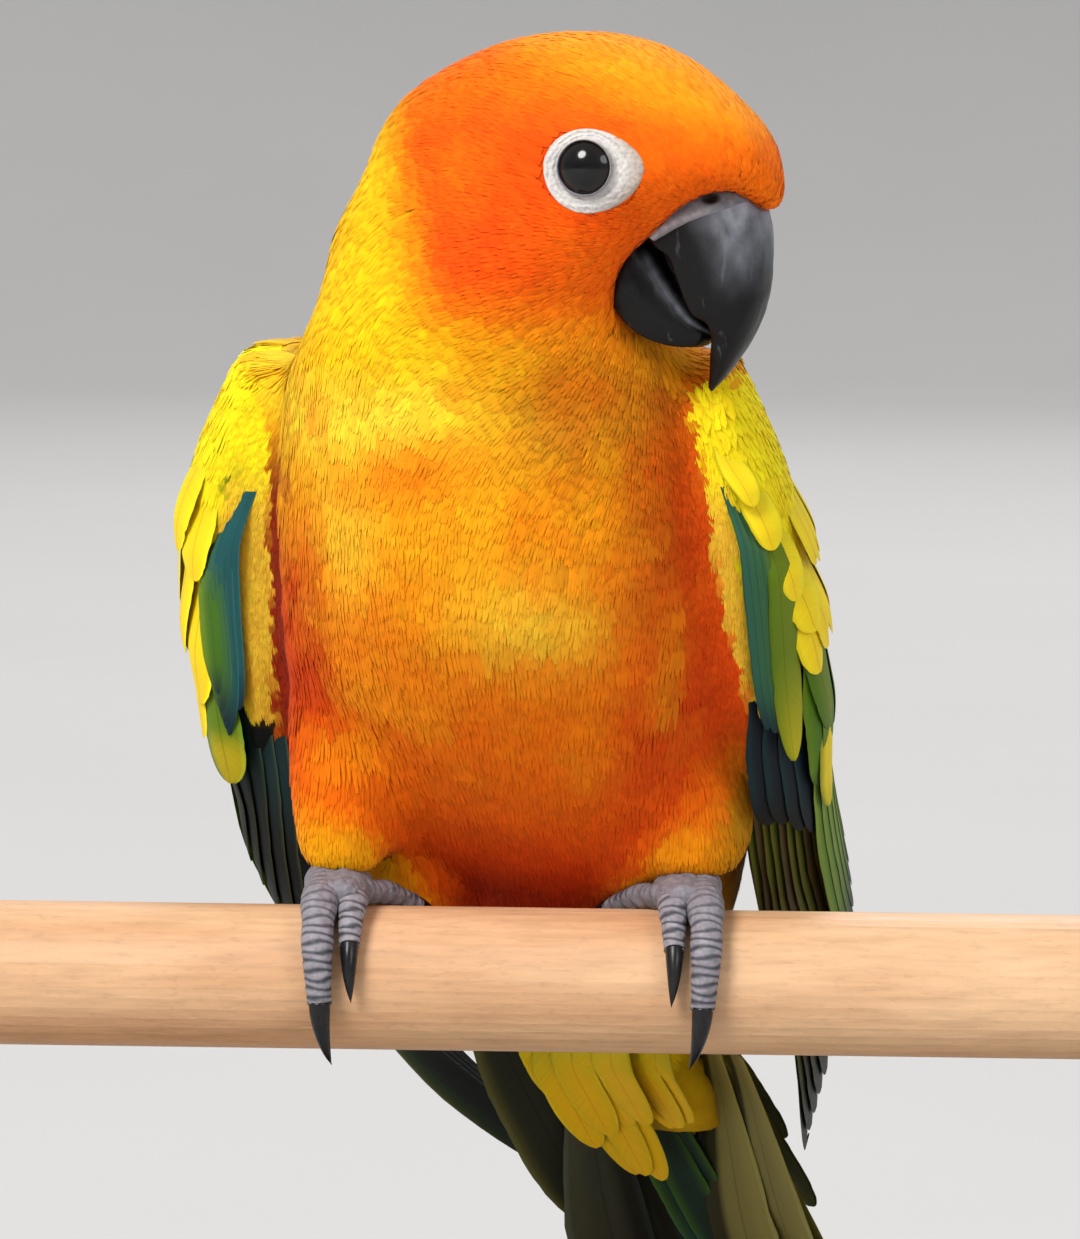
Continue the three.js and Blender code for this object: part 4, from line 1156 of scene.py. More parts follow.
FRONT_QUILLS = {
    -1: (5, (40, 40), (84, 70), (-21, -11), (-18, -9), (-2.8, -1.4), (3.0, 3.2), 6, slate_quill, -2.2, 0.4),
    1: (
        4, (42, 42), (61, 67.5), (-17.6, -4.5), (-18.0, -4.8), (-1.4, -0.9), (3.6, 4.0), 6, navy_quill,
        -1.5, 0.3,
    ),
}


def wing_feathers(side):
    """Rows from the hidden ones outward; w runs from the front edge, about -24, to 40 at the back."""
    tip_w, half, rounded = ((4, -3), (4.6, 3.6), 0.5) if side < 0 else ((6, -4), (5.4, 5.0), 0.3)
    f = []
    for values in (
        (10, (48, 48), (110, 152), (1, -14), tip_w, (-1.9, -6.6), half, 6, primary, None, rounded),
        (10, (46, 46), (106, 84), (1, 24), (3, 22), (-1.0, -0.9), (5.6, 5.6), 10, secondary, None, 0.2),
        (5, (44, 44), (84, 66), (25, 40), (24, 38), (-0.7, -0.5), (6.0, 6.0), 10, tertial, None, 0.22),
        FRONT_QUILLS[side],
        (5, (38, 38), (60, 58), (-2, 14), (-2, 13), (-0.2, 0.0), (3.2, 3.6), 6, leaf_covert, -0.9),
        (8, (36, 36), (60, 58), (14, 40), (13, 38), (0.1, 0.3), (4.2, 4.8), 8, tertial, -0.9, 0.25),
        (9, (24, 22), (42, 41), (-2, 36), (-2, 35), (0.3, 0.6), (3.8, 4.8), 6, yellow_covert, -1.8, 0.34),
    ):
        f += row(*values)
    f += [single(*covert) for covert in FACE_COVERTS[side]]
    shortest = row(
        11, (17, 15), (30, 31), (4, 34), (4, 33), (0.5, 0.8), (3.8, 4.4), 5, yellow_covert, -1.8, 0.45
    )
    return f + shortest


def wing_vane(side, f, seed):
    wrap = WING_WRAP[side]
    root_across, tip_across = [w * wrap if w < 0 else w for w in (f["root_w"], f["tip_w"])]
    half = f["half"] * (mix(wrap, 1, 0.35) if f["tip_w"] < -4 else 1)
    tilt = math.tan(math.radians(f["tilt"]))

    def place(share, x, rise):
        u = mix(f["root"], f["tip"], share)
        v = mix(root_across, tip_across, share)
        h = mix(f["root_height"], f["height"], smooth(share, 0, f["emerge"])) - x * tilt + rise
        h = h - 0.012 * x**2 + swell_at(side, u, mix(f["root_w"], f["tip_w"], share) + x)
        return wing_point(side, u, v + x, h, (root_across + tip_across) / 2)

    return vane(f, place, half, -0.25, seed)


def build_wings():
    for side, name in ((-1, "right"), (1, "left")):
        parts = [wing_vane(side, f, 100 + k) for k, f in enumerate(wing_feathers(side))]
        collect(f"feathers_wing_{name}", parts, "plumage_wing", f"wing_{name}")


def mantle_point(u, across, rise):
    """Across the upper back from wing to wing, never under the skin; across is -1 to 1."""
    left, right = wing_point(-1, u, 33, 0.9), wing_point(1, u, 33, 0.9)
    place = mix(left, right, ((across + 1) / 2)[..., None])
    place = place + body_back * (MANTLE_ARCH * np.maximum(1 - across**2, 0))[..., None]
    lift = np.clip(skin_over(place, body_back, 25) + 1.0, 0, 9)
    return place + body_back * (lift + rise)[..., None]


MANTLE_ARCH = 3.0


def build_mantle():
    parts = []
    lay = ((21, 44, 7, 0.2, 0.24), (12, 33, 8, 0.9, 0.22), (3, 22, 8, 1.6, 0.22))
    for root, tip, count, height, wide in lay:
        for k in range(count):
            middle = mix(-0.95, 0.95, k / (count - 1))
            f = {"green": abs(middle), "round": 0.5, "root_width": 0.6, "marking": mantle_feather}

            def place(share, x, rise):
                at = np.broadcast_to(mix(root, tip, share), x.shape)
                up = mix(-1.6, height + 0.3 * (k % 2), smooth(share, 0, 0.4))
                return mantle_point(at, middle + x * wide, rise + up)

            parts.append(vane(f, place, 1.0, 0, 900 + len(parts)))
    collect("feathers_mantle", parts, "plumage_wing")


def tail_vane(f, seed):
    def place(share, x, rise):
        run = mix(f["root"], f["tip"], share)
        side = mix(f["root_side"], f["tip_side"], share)
        return tail_point(run, side + x, mix(f["root_out"], f["out"], smooth(share, 0, 0.5)) + rise)

    return vane(f, place, f["half"], 0, seed)


def tail_feather(marking, root, tip, side, out, half, rounded, root_width, sign=1):
    """side and out give the values at the root and at the tip."""
    return {
        "marking": marking, "sign": sign, "root": root, "tip": tip, "root_side": side[0],
        "tip_side": side[1], "root_out": out[0], "out": out[1], "half": half, "round": rounded,
        "root_width": root_width,
    }


# Coverts: marking, count, root, then for the first and the last the tip, the side at the root and at
# the tip; distance out, half width, share of that distance at the root and width there
TAIL_COVERTS = (
    (flank_quill, 4, -8, (62, 46), (-9, -19), (-12, -21), -1.4, 4.8, 0.9, 0.6),
    (dark_covert, 3, 14, (50, 56), (-1, 4), (-2, 3.5), -7.6, 3.6, 0.9, 0.6),
    (under_covert, 3, -12, (22.5, 24), (-2, 3), (-2.8, 1.0), -11.6, 3.3, 0.4, 0.3),
    (under_covert, 3, -12, (17, 9), (-4, -7), (-5, -7.5), -11.0, 3.2, 0.4, 0.3),
    (under_covert, 3, -12, (11, 9), (6, 11), (7, 11.5), -10.6, 3.2, 0.4, 0.3),
    (under_covert, 4, -14, (16, 8), (-5, 5), (-6, 5), -12.2, 3.4, 0.4, 0.3),
    (upper_covert, 7, 6, (42, 42), (-8, 9), (-11, 12), 1.2, 4.6, 0.9, 0.6),
    (upper_covert, 7, 0, (28, 28), (-8, 9), (-11, 12), 2.4, 4.6, 0.9, 0.6),
)
TAIL_STEPS = (1, 0.95, 0.89, 0.82, 0.75, 0.68)


def build_tail():
    feathers = []
    for sign in (-1, 1):
        for k, share in enumerate(TAIL_STEPS):
            out = -0.95 * (k + min(k, 2) + (1 if k < 2 and sign > 0 else 0))
            side = (sign * (1 + (2.4 if sign > 0 else 1.7) * k), sign * (3 + 4.2 * k))
            lay = (3, TAIL_LENGTH * share, side, (out * 0.2, out))
            feathers.append(tail_feather(tail_quill, *lay, 6.0, 0.34, 0.3, sign))
    for tip, side, out in ((74, (20, 12), -7.6), (84, (15.5, -1), -8.8)):
        feathers.append(tail_feather(tail_quill, -2, tip, side, (out * 0.3, out), 6.2, 0.3, 0.3))
    for marking, count, root, tip, root_side, tip_side, out, half, sunk, root_width in TAIL_COVERTS:
        for k in range(count):
            share = k / (count - 1)
            side = (mix(*root_side, share), mix(*tip_side, share))
            step = 0.35 * (k % 2) * np.sign(out)
            lay = (root, mix(*tip, share) + rng.uniform(-1, 1), side, (out * sunk, out + step))
            feathers.append(tail_feather(marking, *lay, half, 0.35, root_width))
    parts = [tail_vane(f, 500 + k) for k, f in enumerate(feathers)]
    collect("feathers_tail", parts, "plumage_tail", "tail")


# Materials: values are numbers, colours or sockets of other nodes
class Look:
    """A material under construction."""

    def __init__(self, name):
        self.material = bpy.data.materials.new(name)
        self.material.use_nodes = True
        self.shader = self.material.node_tree.nodes["Principled BSDF"]

    def put(self, socket, value):
        if isinstance(value, bpy.types.NodeSocket):
            self.material.node_tree.links.new(value, socket)
        elif socket.type == "RGBA":
            socket.default_value = (*value, 1)
        else:
            socket.default_value = value

    def node(self, kind, inputs, **settings):
        made = self.material.node_tree.nodes.new("ShaderNode" + kind)
        for key, value in settings.items():
            setattr(made, key, value)
        for key, value in inputs.items():
            self.put(made.inputs[key], value)
        return made

    def texture(self, kind, scale, stretch=(1, 1, 1), **inputs):
        """A texture in the object's own coordinates."""
        place = self.node("TexCoord", {}).outputs["Object"]
        mapped = self.node("Mapping", {0: place, "Scale": stretch}).outputs[0]
        return self.node("Tex" + kind, {0: mapped, "Scale": scale, **inputs}).outputs[0]

    def ramp(self, source, low, high, at=(0.3, 0.7)):
        """From the low value to the high one between two places of the source."""
        made = self.node("ValToRGB", {0: source})
        for element, position, value in zip(made.color_ramp.elements, at, (low, high)):
            element.position = position
            element.color = (*np.broadcast_to(value, 3), 1)
        return made.outputs[0]

    def mixed(self, kind, a, b, factor=1.0):
        return self.node("Mix", {0: factor, 6: a, 7: b}, data_type="RGBA", blend_type=kind).outputs[2]

    def marked(self, tone):
        """The markings of the mesh under a tone."""
        colours = self.node("Attribute", {}, attribute_name="Markings").outputs[0]
        return self.mixed("MULTIPLY", colours, tone)

    def maths(self, operation, *values):
        return self.node("Math", dict(enumerate(values)), operation=operation).outputs[0]

    def bump(self, height, strength, distance):
        made = self.node("Bump", {"Height": height, "Strength": strength, "Distance": distance})
        self.put(self.shader.inputs["Normal"], made.outputs[0])

    def done(self, base, roughness, specular=0.5, **more):
        values = {"Base Color": base, "Roughness": roughness, "Specular IOR Level": specular, **more}
        for key, value in values.items():
            self.put(self.shader.inputs[key], value)
        return self.material


def plumage_material():
    look = Look("plumage")
    fine = look.texture("Noise", 900.0, Detail=3.0)
    base = look.marked(look.ramp(fine, 0.88, 1.0))
    return look.done(base, look.ramp(fine, 0.68, 0.8), 0.06, **{"Sheen Weight": 0.02})


def vane_material():
    """Barbs slant from the shaft to the edge, so their lines follow the vane's own coordinates."""
    look = Look("vane")
    place = look.node("Attribute", {}, attribute_name="Vane").outputs["Vector"]
    across, along, own = look.node("SeparateXYZ", {0: place}).outputs
    slant = look.maths("MULTIPLY_ADD", look.maths("ABSOLUTE", across), -0.12, along)
    lines = look.node("CombineXYZ", {0: slant, 1: own}).outputs[0]
    barbs = look.node("TexNoise", {0: lines, "Scale": 190.0, "Detail": 2.0}).outputs[0]
    tinted = look.marked(look.ramp(barbs, 0.86, 1.0, (0.32, 0.68)))
    shaft = look.maths("COMPARE", across, 0.0, 0.03)
    look.bump(barbs, 0.3, 0.0002)
    base = look.mixed("MULTIPLY", tinted, (0.78, 0.74, 0.7), shaft)
    return look.done(base, look.ramp(barbs, 0.5, 0.62), 0.16)


def bill_material():
    """Slate horn with broad wear, pale scratches and small chips."""
    look = Look("bill_horn")
    broad = look.texture("Noise", 230.0, Detail=5.0, Roughness=0.6)
    lines = look.texture("Noise", 620.0, (1, 1, 0.22), Detail=4.0)
    base = look.marked(look.ramp(broad, 0.62, 1.25, (0.35, 0.68)))
    scratch = look.ramp(lines, 0.0, 0.4, (0.62, 0.72))
    look.bump(lines, 0.35, 0.0003)
    base = look.mixed("MIX", base, (0.17, 0.175, 0.185), scratch)
    return look.done(base, look.ramp(broad, 0.26, 0.44), 0.24)


def claw_material():
    look = Look("claw_horn")
    grain = look.texture("Noise", 800.0, (1, 1, 0.3), Detail=4.0)
    look.bump(grain, 0.2, 0.0002)
    base = look.ramp(grain, (0.004, 0.004, 0.005), (0.012, 0.011, 0.012))
    return look.done(base, look.ramp(grain, 0.2, 0.34), 0.3)


def bare_skin_material(name, scale, roughness, depth):
    """Bare skin: fine grain over the markings and a pebbled surface."""
    look = Look(name)
    look.bump(look.texture("Voronoi", scale), 0.5, depth)
    fine = look.texture("Noise", scale * 1.6, Detail=4.0)
    base = look.marked(look.ramp(fine, 0.8, 1.06, (0.3, 0.68)))
    return look.done(base, look.ramp(fine, roughness - 0.06, roughness + 0.08), 0.28)


def wood_material(name, pale, dark, scale, stretch, roughness):
    """Fibres along X in two sizes, with short dark pores."""
    look = Look(name)
    broad = look.texture("Noise", scale, (stretch, 1, 1), Detail=3.0)
    fibre = look.texture("Noise", scale * 7, (stretch, 1, 1), Detail=5.0)
    pores = look.texture("Noise", scale * 12, (stretch * 2.5, 1, 1), Detail=2.0)
    base = look.ramp(broad, dark, pale, (0.36, 0.62))
    base = look.mixed("MULTIPLY", base, look.ramp(fibre, 0.86, 1.0, (0.3, 0.6)))
    base = look.mixed("MULTIPLY", base, look.ramp(pores, 0.92, 1.0, (0.34, 0.42)))
    look.bump(pores, 0.25, 0.0002)
    return look.done(base, look.ramp(fibre, roughness - 0.08, roughness + 0.08))


def metal_material():
    look = Look("rod_metal")
    brushed = look.texture("Noise", 1500.0, (1, 1, 0.02), Detail=3.0)
    base = look.ramp(brushed, (0.5, 0.5, 0.5), (0.66, 0.66, 0.67))
    return look.done(base, look.ramp(brushed, 0.26, 0.42), Metallic=1.0)


def eye_material():
    look = Look("eye")
    fine = look.texture("Noise", 1600.0, Detail=3.0)
    return look.done(look.marked(look.ramp(fine, 0.7, 1.0)), 0.12, 0.4)


PLUMAGE = plumage_material()
VANE = vane_material()
BILL = bill_material()
CLAW = claw_material()
CERE = bare_skin_material("cere_skin", 1100, 0.5, 0.00025)
LID = bare_skin_material("lid_skin", 1700, 0.5, 0.00025)
FOOT = bare_skin_material("foot_skin", 1100, 0.52, 0.0003)
PERCH = wood_material("perch_wood", colour(222, 180, 138), colour(206, 158, 116), 160, 0.12, 0.5)
BASE = wood_material("base_wood", colour(128, 88, 58), colour(96, 62, 40), 60, 0.06, 0.42)
ROD = metal_material()
EYE_GLOSS = eye_material()

# Skin, darker than the coat over it as painted shade between the feathers, and plumage
SKIN_SHADE = 0.8
set_markings(skin_mesh, plumage_colour(skin_points) * SKIN_SHADE)
skin_mesh.shade_smooth()
piece("skin", skin_mesh, PLUMAGE, "plumage_orange", "torso", "neck", "head", "thigh_left", "thigh_right")
body_coat()
build_wings()
build_mantle()
build_tail()

# Bill: the edge of the upper half has a notch near its hook
UPPER_BILL = [
    [20.6, 2.2, 9.5, -4.5, 6.2], [24.4, -1.2, 12.7, -7.6, 6.6], [25.7, -4.4, 15.0, -9.3, 6.5],
    [26.1, -8.4, 16.2, -12.4, 5.9], [25.9, -12.6, 17.6, -15.7, 5.0], [25.0, -16.0, 19.6, -16.9, 4.2],
    [23.5, -19.2, 19.8, -18.9, 3.1], [21.4, -22.4, 19.3, -21.8, 1.8], [19.2, -24.9, 18.8, -24.4, 0.4],
]
LOWER_BILL = [
    [11.6, -6.2, 6.0, -11.0, 6.0], [13.9, -9.8, 7.8, -14.8, 5.9], [15.9, -13.2, 10.6, -18.0, 5.3],
    [17.9, -16.0, 14.0, -19.5, 4.1], [19.3, -17.3, 17.2, -19.7, 2.5], [19.8, -18.2, 18.7, -19.1, 0.8],
]
BILL_GREY = colour(98, 100, 108)
BILL_BLACK = colour(8, 8, 9)
# Share of the painted tone at the middles of a loft's two ends
CAP_ENDS = (0, 0)


def bill_point(stations, at, angle, grow=0.0):
    """Angle 0 is the ridge and 180 the inner edge, which is broad with a rim on either side."""
    stations = np.array(stations)
    stops = np.arange(len(stations))
    outer_f, outer_u, inner_f, inner_u, half = [track(stops, stations[:, k], at) for k in range(5)]
    c, s = np.cos(angle), np.sin(angle)
    wide = np.where(c > 0, np.abs(s) ** 0.85, (1 - 0.1 * c**2) * fade(-c, 0.9, 1.0))
    ahead = (outer_f + inner_f) / 2 + c * ((outer_f - inner_f) / 2 + grow)
    up = (outer_u + inner_u) / 2 + c * ((outer_u - inner_u) / 2 + grow * 0.6)
    return head_point(ahead, (half + grow) * wide * np.sign(s), up)


def build_bill():
    for name, stations in (("bill_upper", UPPER_BILL), ("bill_lower", LOWER_BILL)):
        grid_at, grid_angle = grid(np.linspace(0, len(stations) - 1, 60), turns(64))
        rings = bill_point(stations, grid_at, grid_angle)
        flake = 0.07 * mottle(rings, 1.6, 3.0)
        rings = bill_point(stations, grid_at, grid_angle, flake)
        points, faces = loft(rings)
        if name == "bill_upper":
            # Painted light: the ridge and upper side of the upper half lighter grey toward its root, broken
            # by worn patches
            lit = smooth(np.cos(grid_angle), -0.3, 0.75) * fade(grid_at, 1.4, 4.4)
            worn = mottle(rings * np.array([1.0, 1.0, 0.5]), 1.3, 17.0)
            tone = lit * (1.5 + 1.0 * worn)
        else:
            # Painted highlight along the upper edge of the lower half
            rim = bell((np.cos(grid_angle) - 0.72) / 0.09) * smooth(grid_at, 0.2, 0.8)
            tone = 1.7 * rim * (0.75 + 0.5 * mottle(rings, 1.2))
        shade = paint(BILL_BLACK, BILL_GREY, np.append(tone, CAP_ENDS))
        piece(f"{name}_horn", (points, faces, shade), BILL, "bill", name)


CERE_GREY = colour(124, 122, 127)
CERE_PALE = colour(196, 193, 195)
NOSTRIL_SHADE = colour(4, 3, 3)


def build_cere():
    """Bare pale skin round the root of the upper bill, with the two nostrils."""
    grid_at, grid_angle = grid(np.linspace(-0.25, 1.28, 40), np.linspace(-2.5, 2.5, 90))
    share = (grid_at + 0.25) / 1.53
    narrowed = mix(-0.25, grid_at, mix(1.0, 0.85, smooth(np.abs(grid_angle), 0.7, 1.9)))
    swell = 0.45 * np.sqrt(np.clip(1 - share**3, 0, 1)) - 0.12
    around = np.hypot((np.abs(grid_angle) - 1.04) / 0.12, (share - 0.66) / 0.1)
    pit, rim = bell(around), bell((around - 1.5) / 0.4)
    front = bill_point(UPPER_BILL, np.maximum(narrowed, 0), grid_angle, swell - 0.26 * pit + 0.2 * rim)
    points, faces = loft(np.swapaxes(front, 0, 1), closed_ends=False)
    patches = mottle(front, 0.9, 23.0)
    line = bell((share - 0.86) / 0.09) * smooth(np.abs(grid_angle), 0.9, 1.5)
    tone = layered(
        CERE_GREY, (BILL_GREY * 0.6, 0.5 + 0.5 * patches), (CERE_PALE, line * (0.6 + 0.4 * patches)),
        # Painted shade in the nostril pits
        (NOSTRIL_SHADE, np.clip(pit * 2.4, 0, 1)),
    ).swapaxes(0, 1).reshape(-1, 3)
    piece("cere_skin", (points, faces, tone), CERE, "cere", "cere")


# Eyes: a smooth ball with a dark iris and pupil, and a ring of bare wrinkled skin
def eye_frame(side):
    outward = unit(side * head_right + 0.1 * head_forward)
    return EYE[side], outward, on_plane(head_forward, outward), UP


PUPIL = colour(3, 3, 4)
IRIS = colour(20, 12, 10)


def build_eyes():
    for side, name in ((1, "right"), (-1, "left")):
        centre, outward, ahead, up = eye_frame(side)
        polar, turn = columns(*grid(np.linspace(0.02, np.pi - 0.02, 48), turns(64)))
        ball = outward * np.cos(polar) + (ahead * np.cos(turn) + up * np.sin(turn)) * np.sin(polar)
        points, faces = loft(centre + EYE_RADIUS * ball)
        iris = smooth(np.degrees(polar), 30, 33)
        shade = paint(PUPIL, IRIS, np.append(iris, CAP_ENDS))
        piece(f"eyeball_{name}", (points, faces, shade), EYE_GLOSS, "eye", f"eye_{name}")
        build_lid(side, name)


LID_INNER = 3.14
LID_WHITE = colour(212, 207, 203)
LID_MARGIN_SHADE = colour(88, 84, 88)
LID_WARM = colour(184, 166, 152)
LID_SHADOW = colour(126, 122, 138)
LID_RIM = colour(214, 150, 110)
LID_FOLD_SHADE = colour(150, 146, 146)


def build_lid(side, name):
    centre, outward, ahead, up = eye_frame(side)
    share, turn = grid(np.linspace(0, 1, 34), turns(144))
    c, s = np.cos(turn), np.sin(turn)
    outer_ahead = np.where(c > 0, 6.2 + 0.8 * np.maximum(c, 0) ** 4, 5.1)
    outer = np.stack([c * outer_ahead, s * np.where(s > 0, 4.6, 5.5)], -1)
    inner = np.stack([c * LID_INNER, s * LID_INNER], -1)
    flat_place = mix(inner, outer, (share**1.1)[..., None])
    foot = centre + flat_place[..., :1] * ahead + flat_place[..., 1:] * up
    face = skin_rise(foot, outward)
    ball = np.sqrt(np.maximum(EYE_RADIUS**2 - (flat_place**2).sum(-1), 0)) + 0.2
    margin = bell((share - 0.07) / 0.06)
    rise = np.maximum(mix(ball, face, smooth(share, 0.05, 0.7)), face)
    rise = rise + 0.3 * margin - 0.6 * (share < 0.01)
    rough = mottle(foot + outward * 3, 0.55, 12.0)
    folds = np.sin(19 * share + 1.6 * np.sin(3 * turn) + 2.2 * rough)
    wrinkle = 0.05 * folds + 0.07 * rough
    rise = rise + wrinkle * smooth(share, 0.12, 0.3) - 0.8 * smooth(share, 0.92, 1.0)
    points = foot + outward * rise[..., None]
    tone = layered(
        LID_WHITE,
        # Painted shade where the lid meets the eyeball
        (LID_MARGIN_SHADE, margin * 0.8),
        (LID_WARM, smooth(c, 0.2, 1.0) * smooth(share, 0.35, 0.9) * 0.85),
        (LID_SHADOW, bell(share / 0.3) * smooth(-s - 0.6 * c, -0.6, 0.6) * 0.6),
        (LID_RIM, smooth(share, 0.86, 1.0) * 0.5),
        # Painted shade in the troughs of the wrinkles
        (LID_FOLD_SHADE, np.clip(-wrinkle * 7, 0, 1) * 0.4),
    ).reshape(-1, 3)
    points, faces = loft(points, closed_ends=False)
    piece(f"lid_{name}_ring", (points, faces, tone), LID, "eye_skin", f"lid_{name}")


def skin_rise(foot, outward):
    """Height just over the skin at each foot point, measured along outward and evened out."""
    heights = skin_over(foot, outward, 14)
    for _ in range(6):
        heights = (heights + np.roll(heights, 1, 1) + np.roll(heights, -1, 1)) / 3
    return heights + 0.45


# Feet: toes wrapped on the perch with overlapping scutes, and curved claws
DIGITS = {
    1: {"start": 6, "end": -34, "claw": -50, "from": -2.0, "to": -12.0, "thick": 1.7, "scutes": 9},
    2: {"start": -8, "end": 59, "claw": 97, "from": -1.7, "to": -1.2, "thick": 2.05, "scutes": 12},
    3: {"start": -8, "end": 98, "claw": 137, "from": 2.0, "to": 2.2, "thick": 2.4, "scutes": 20},
    4: {"start": 4, "end": -88, "claw": -116, "from": 2.0, "to": 3.0, "thick": 2.0, "scutes": 18},
}
FOOT_GREY = colour(111, 108, 115)
SCUTE_GREY = colour(66, 68, 76)
SEAM_PALE = colour(152, 147, 155)
TOE_END = 0.62
CLAW_BEND = 1.5


def toe_rings(x, digit, angles, half, relief, sway=0.0, stand=0.0):
    """Rings across the toe at angles round the perch; relief(turn) is added to the half width."""
    share = (angles - digit["start"]) / (digit["claw"] - digit["start"])
    side = x + np.sign(x) * (mix(digit["from"], digit["to"], share) + sway)
    radius = PERCH_RADIUS + 0.15 + half * 0.95 + stand
    a = np.radians(angles)
    outward = np.stack([np.zeros_like(a), -np.sin(a), np.cos(a)], -1)
    middle = np.stack([side, -radius * np.sin(a), radius * np.cos(a)], -1)
    turn = turns(32)
    size = half[:, None] + relief(turn[None, :])
    across = np.array([1.0, 0, 0]) * (size * np.cos(turn))[..., None]
    return middle[:, None] + across + outward[:, None] * (size * np.sin(turn))[..., None], turn


def build_toe(x, number, digit):
    """Points, faces and colours of one toe: plates grow clearer toward the claw."""
    along = np.linspace(0, 1, digit["scutes"] * 10 + 1)
    angles = mix(digit["start"], digit["end"], along)
    joints = 0.07 * np.cos(along * 2 * np.pi * (3 if number in (3, 4) else 2))
    half = digit["thick"] * (mix(1.08, TOE_END, along**1.2) + joints * (1 - along))
    clear = smooth(along, 0.2, 0.75)[:, None]

    def steps(turn):
        wander = 0.16 * np.sin(along[:, None] * 41 + 2 * turn + x) + 0.3 * (1 - np.sin(turn))
        return (along[:, None] * digit["scutes"] + wander) % 1.0

    def relief(turn):
        upper = smooth(np.sin(turn), -0.3, 0.3)
        step = steps(turn)
        plate = 0.22 * smooth(step, 0.0, 0.2) * (1 - 0.75 * step) * mix(0.55, 1.0, clear)
        pads = 0.12 * np.cos(along * 2 * np.pi * 5)[:, None] * (1 - upper)
        return plate * upper + pads - 0.1

    sway = 0.5 * np.sin(np.pi * along) * (number == 3)
    rings, turn = toe_rings(x, digit, angles, half, relief, sway)
    points, faces = loft(rings)
    points = points + 0.09 * mottle(points, 0.9, 5.0)[:, None] * unit(points * np.array([0.0, 1.0, 1.0]))
    step = steps(turn[None, :])
    upper = smooth(np.sin(turn), -0.3, 0.2)[None, :] * np.ones_like(step)
    groove = fade(np.minimum(step, 1 - step), 0.03, mix(0.22, 0.36, clear))
    upper, groove, clear = [np.append(v, CAP_ENDS) for v in (upper, groove, clear * np.ones_like(step))]
    tone = layered(
        FOOT_GREY, (SEAM_PALE, upper * (1 - groove) * mix(0.45, 0.85, clear)),
        (SCUTE_GREY, upper * groove * mix(0.3, 1.0, clear)),
    )
    return points, faces, tone * (1 + 0.16 * mottle(points, 1.3, 9.0))[:, None]


def build_feet():
    for name, x in (("left", LEG_X[0]), ("right", LEG_X[1])):
        made = [build_toe(x, number, digit) for number, digit in DIGITS.items()]
        for rings in foot_pads(x):
            points, faces = loft(rings)
            points = points + 0.22 * mottle(points, 1.1, 3.0)[:, None] * UP
            made.append((points, faces, paint(FOOT_GREY, SEAM_PALE, 0.35 + 0.4 * mottle(points, 0.8))))
        faces, start = [], 0
        for points, groups, _ in made:
            faces += [group + start for group in groups]
            start += len(points)
        for number, digit in DIGITS.items():
            build_claw(name, x, number, digit)
        points, tones = [np.concatenate([part[k] for part in made]) for k in (0, 2)]
        piece(f"toes_{name}", (points, faces, tones), FOOT, "foot_skin", f"foot_{name}")


def foot_pads(x):
    """Ball of the foot and the shank up into the thigh's feathers."""
    turn = turns(64)
    at = np.linspace(0, 1, 30)[:, None]
    half = track([0, 0.3, 0.7, 1], [1.8, 3.1, 3.3, 1.8], at)
    y = mix(-5.4, 5.2, at)
    folds = 0.1 * np.sin(9 * turn + 4 * at) + 0.08 * np.sin(at * 22)
    pad = np.stack(np.broadcast_arrays(
        x + 1.08 * half * np.cos(turn), y, PERCH_RADIUS + 2.5 + (0.72 * half + folds) * np.sin(turn)
    ), -1)
    z = mix(10.5, 17.5, at)
    width = 2.3 + 0.12 * np.sin(at * 30)
    shank_y = 3.0 + at * 1.6 + width * np.sin(turn)
    shank = np.stack(np.broadcast_arrays(x + width * np.cos(turn), shank_y, z), -1)
    return pad, shank


def build_claw(foot, x, number, digit):
    """Horn that leaves the toe in one line, thick at its root, bending inward to a fine tip."""
    along = np.linspace(0, 1, 36)
    begin = mix(digit["end"], digit["start"], 0.025)
    angles = mix(begin, digit["claw"], along)
    half = digit["thick"] * TOE_END * 0.96 * np.maximum(1 - along**1.6, 0.03) ** 0.85

    def relief(turn):
        return half[:, None] * (0.28 * np.maximum(np.sin(turn), 0) - 0.1 * np.abs(np.cos(turn)))

    bend = {2: -0.5, 3: -CLAW_BEND}.get(number, 0.0)
    stand = {2: 1.4, 3: 3.6}.get(number, 1.0)
    rings, _ = toe_rings(x, digit, angles, half, relief, bend * along**2, stand * along**1.4)
    label = f"claw_{foot}_{number}"
    piece(f"{label}_horn", loft(rings), CLAW, "claw", label)


build_bill()
build_cere()
build_eyes()
build_feet()

# Stand and perch, carried over with materials of their own
for name, material, slot in (
    ("perch", PERCH, "perch_wood"), ("stand_base", BASE, "stand_wood"),
    ("stand_rod_left", ROD, "stand_metal"),
    ("stand_rod_right", ROD, "stand_metal"),
):
    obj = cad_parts[name]
    obj.data.materials.clear()
    obj.data.materials.append(material)

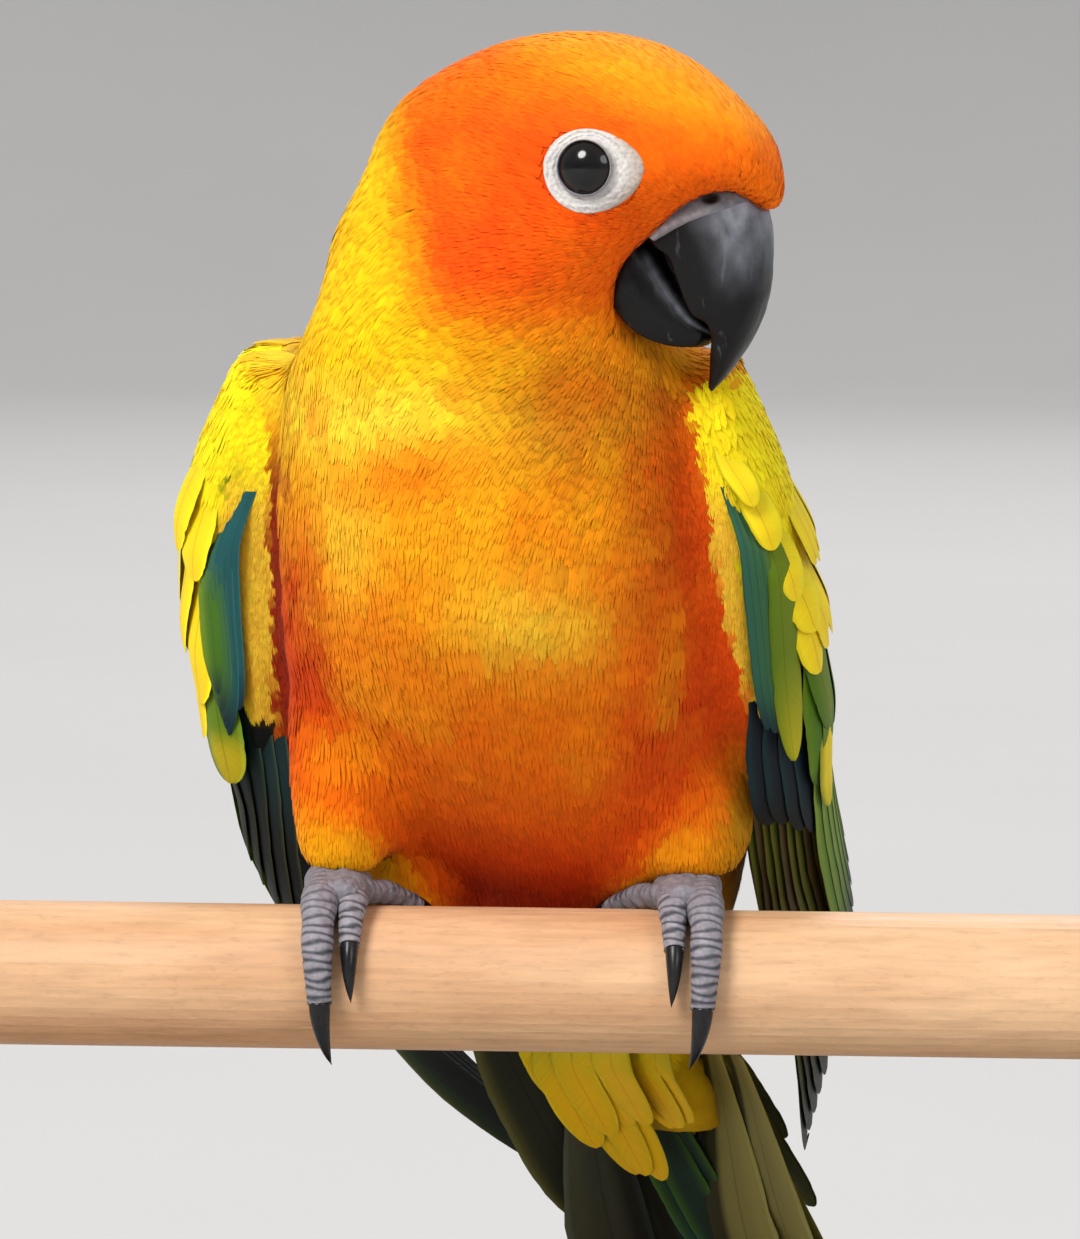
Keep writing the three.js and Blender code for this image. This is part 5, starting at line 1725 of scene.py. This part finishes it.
# Floor that rises all round, light and camera
FLOOR_RADIUS, RISE, FLOOR_SIDES = 3400.0, 1300.0, 96
profile = [(r, 0.0) for r in np.linspace(0, FLOOR_RADIUS, 12)[1:]]
curve = np.linspace(0, math.pi / 2, 14)[1:]
profile += [(FLOOR_RADIUS + RISE * math.sin(a), RISE * (1 - math.cos(a))) for a in curve]
angles = turns(FLOOR_SIDES)
circle = np.stack([np.cos(angles), np.sin(angles), np.zeros(FLOOR_SIDES)], 1)
rings = [r * circle + z * UP - ORIGIN for r, z in profile]
floor_points, floor_faces = loft(rings, closed_ends=False)
floor_points = np.concatenate([floor_points, [-ORIGIN]])
k = np.arange(FLOOR_SIDES)
fan = np.stack([(k + 1) % FLOOR_SIDES, k, np.full(FLOOR_SIDES, len(floor_points) - 1)], 1)
look = Look("floor_paper")
paper = look.ramp(look.texture("Noise", 3.0, Detail=4.0), (0.56, 0.555, 0.55), (0.58, 0.575, 0.57))
floor = placed("floor", mesh_of("floor", floor_points, floor_faces + [fan]))
floor.data.materials.append(look.done(paper, 0.9))

MIDDLE = Vector(to_world([[0, 0, 50]])[0])


def area_light(name, place, size, power, tint):
    data = bpy.data.lights.new(name, "AREA")
    data.shape = "DISK"
    data.size = size
    data.energy = power
    data.color = tint
    obj = placed(name, data)
    obj.location = MIDDLE + Vector(place)
    obj.rotation_mode = "QUATERNION"
    obj.rotation_quaternion = (MIDDLE - obj.location).to_track_quat("-Z", "Y")
    obj.visible_camera = False


area_light("key", (-1.5, -1.9, 2.1), 1.3, 104, (1.0, 0.985, 0.96))
area_light("fill", (2.4, -2.4, 1.6), 1.6, 27, (0.97, 0.985, 1.0))
area_light("back", (0.6, 2.6, 2.2), 1.4, 40, (1.0, 1.0, 1.0))
world = bpy.data.worlds.new("studio")
bpy.context.scene.world = world
world.use_nodes = True
world.node_tree.nodes["Background"].inputs[0].default_value = (1.0, 1.0, 1.0, 1)
world.node_tree.nodes["Background"].inputs[1].default_value = 0.5

# Camera of the photo
DISTANCE, ELEVATION, ROLL = 600.0, 6.0, 0.8
FOCAL = 145 / 18 * DISTANCE
IMAGE_HEIGHT = 1239
TARGET = np.array([3.5, 0.0, 45.3])
SENSOR = 36.0
e = math.radians(ELEVATION)
sight = np.array([0, math.cos(e), -math.sin(e)])
camera_data = bpy.data.cameras.new("camera")
camera_data.sensor_width = SENSOR
camera_data.lens = SENSOR * FOCAL / IMAGE_HEIGHT
camera_data.clip_start = 0.01
camera_data.clip_end = 30
camera = placed("camera", camera_data)
camera.location = to_world(TARGET - DISTANCE * sight)[0]
camera.rotation_mode = "QUATERNION"
upright = Vector(sight).to_track_quat("-Z", "Y")
camera.rotation_quaternion = upright @ Quaternion((0, 0, 1), math.radians(ROLL))
bpy.context.scene.camera = camera
bpy.context.scene.view_settings.view_transform = "Standard"
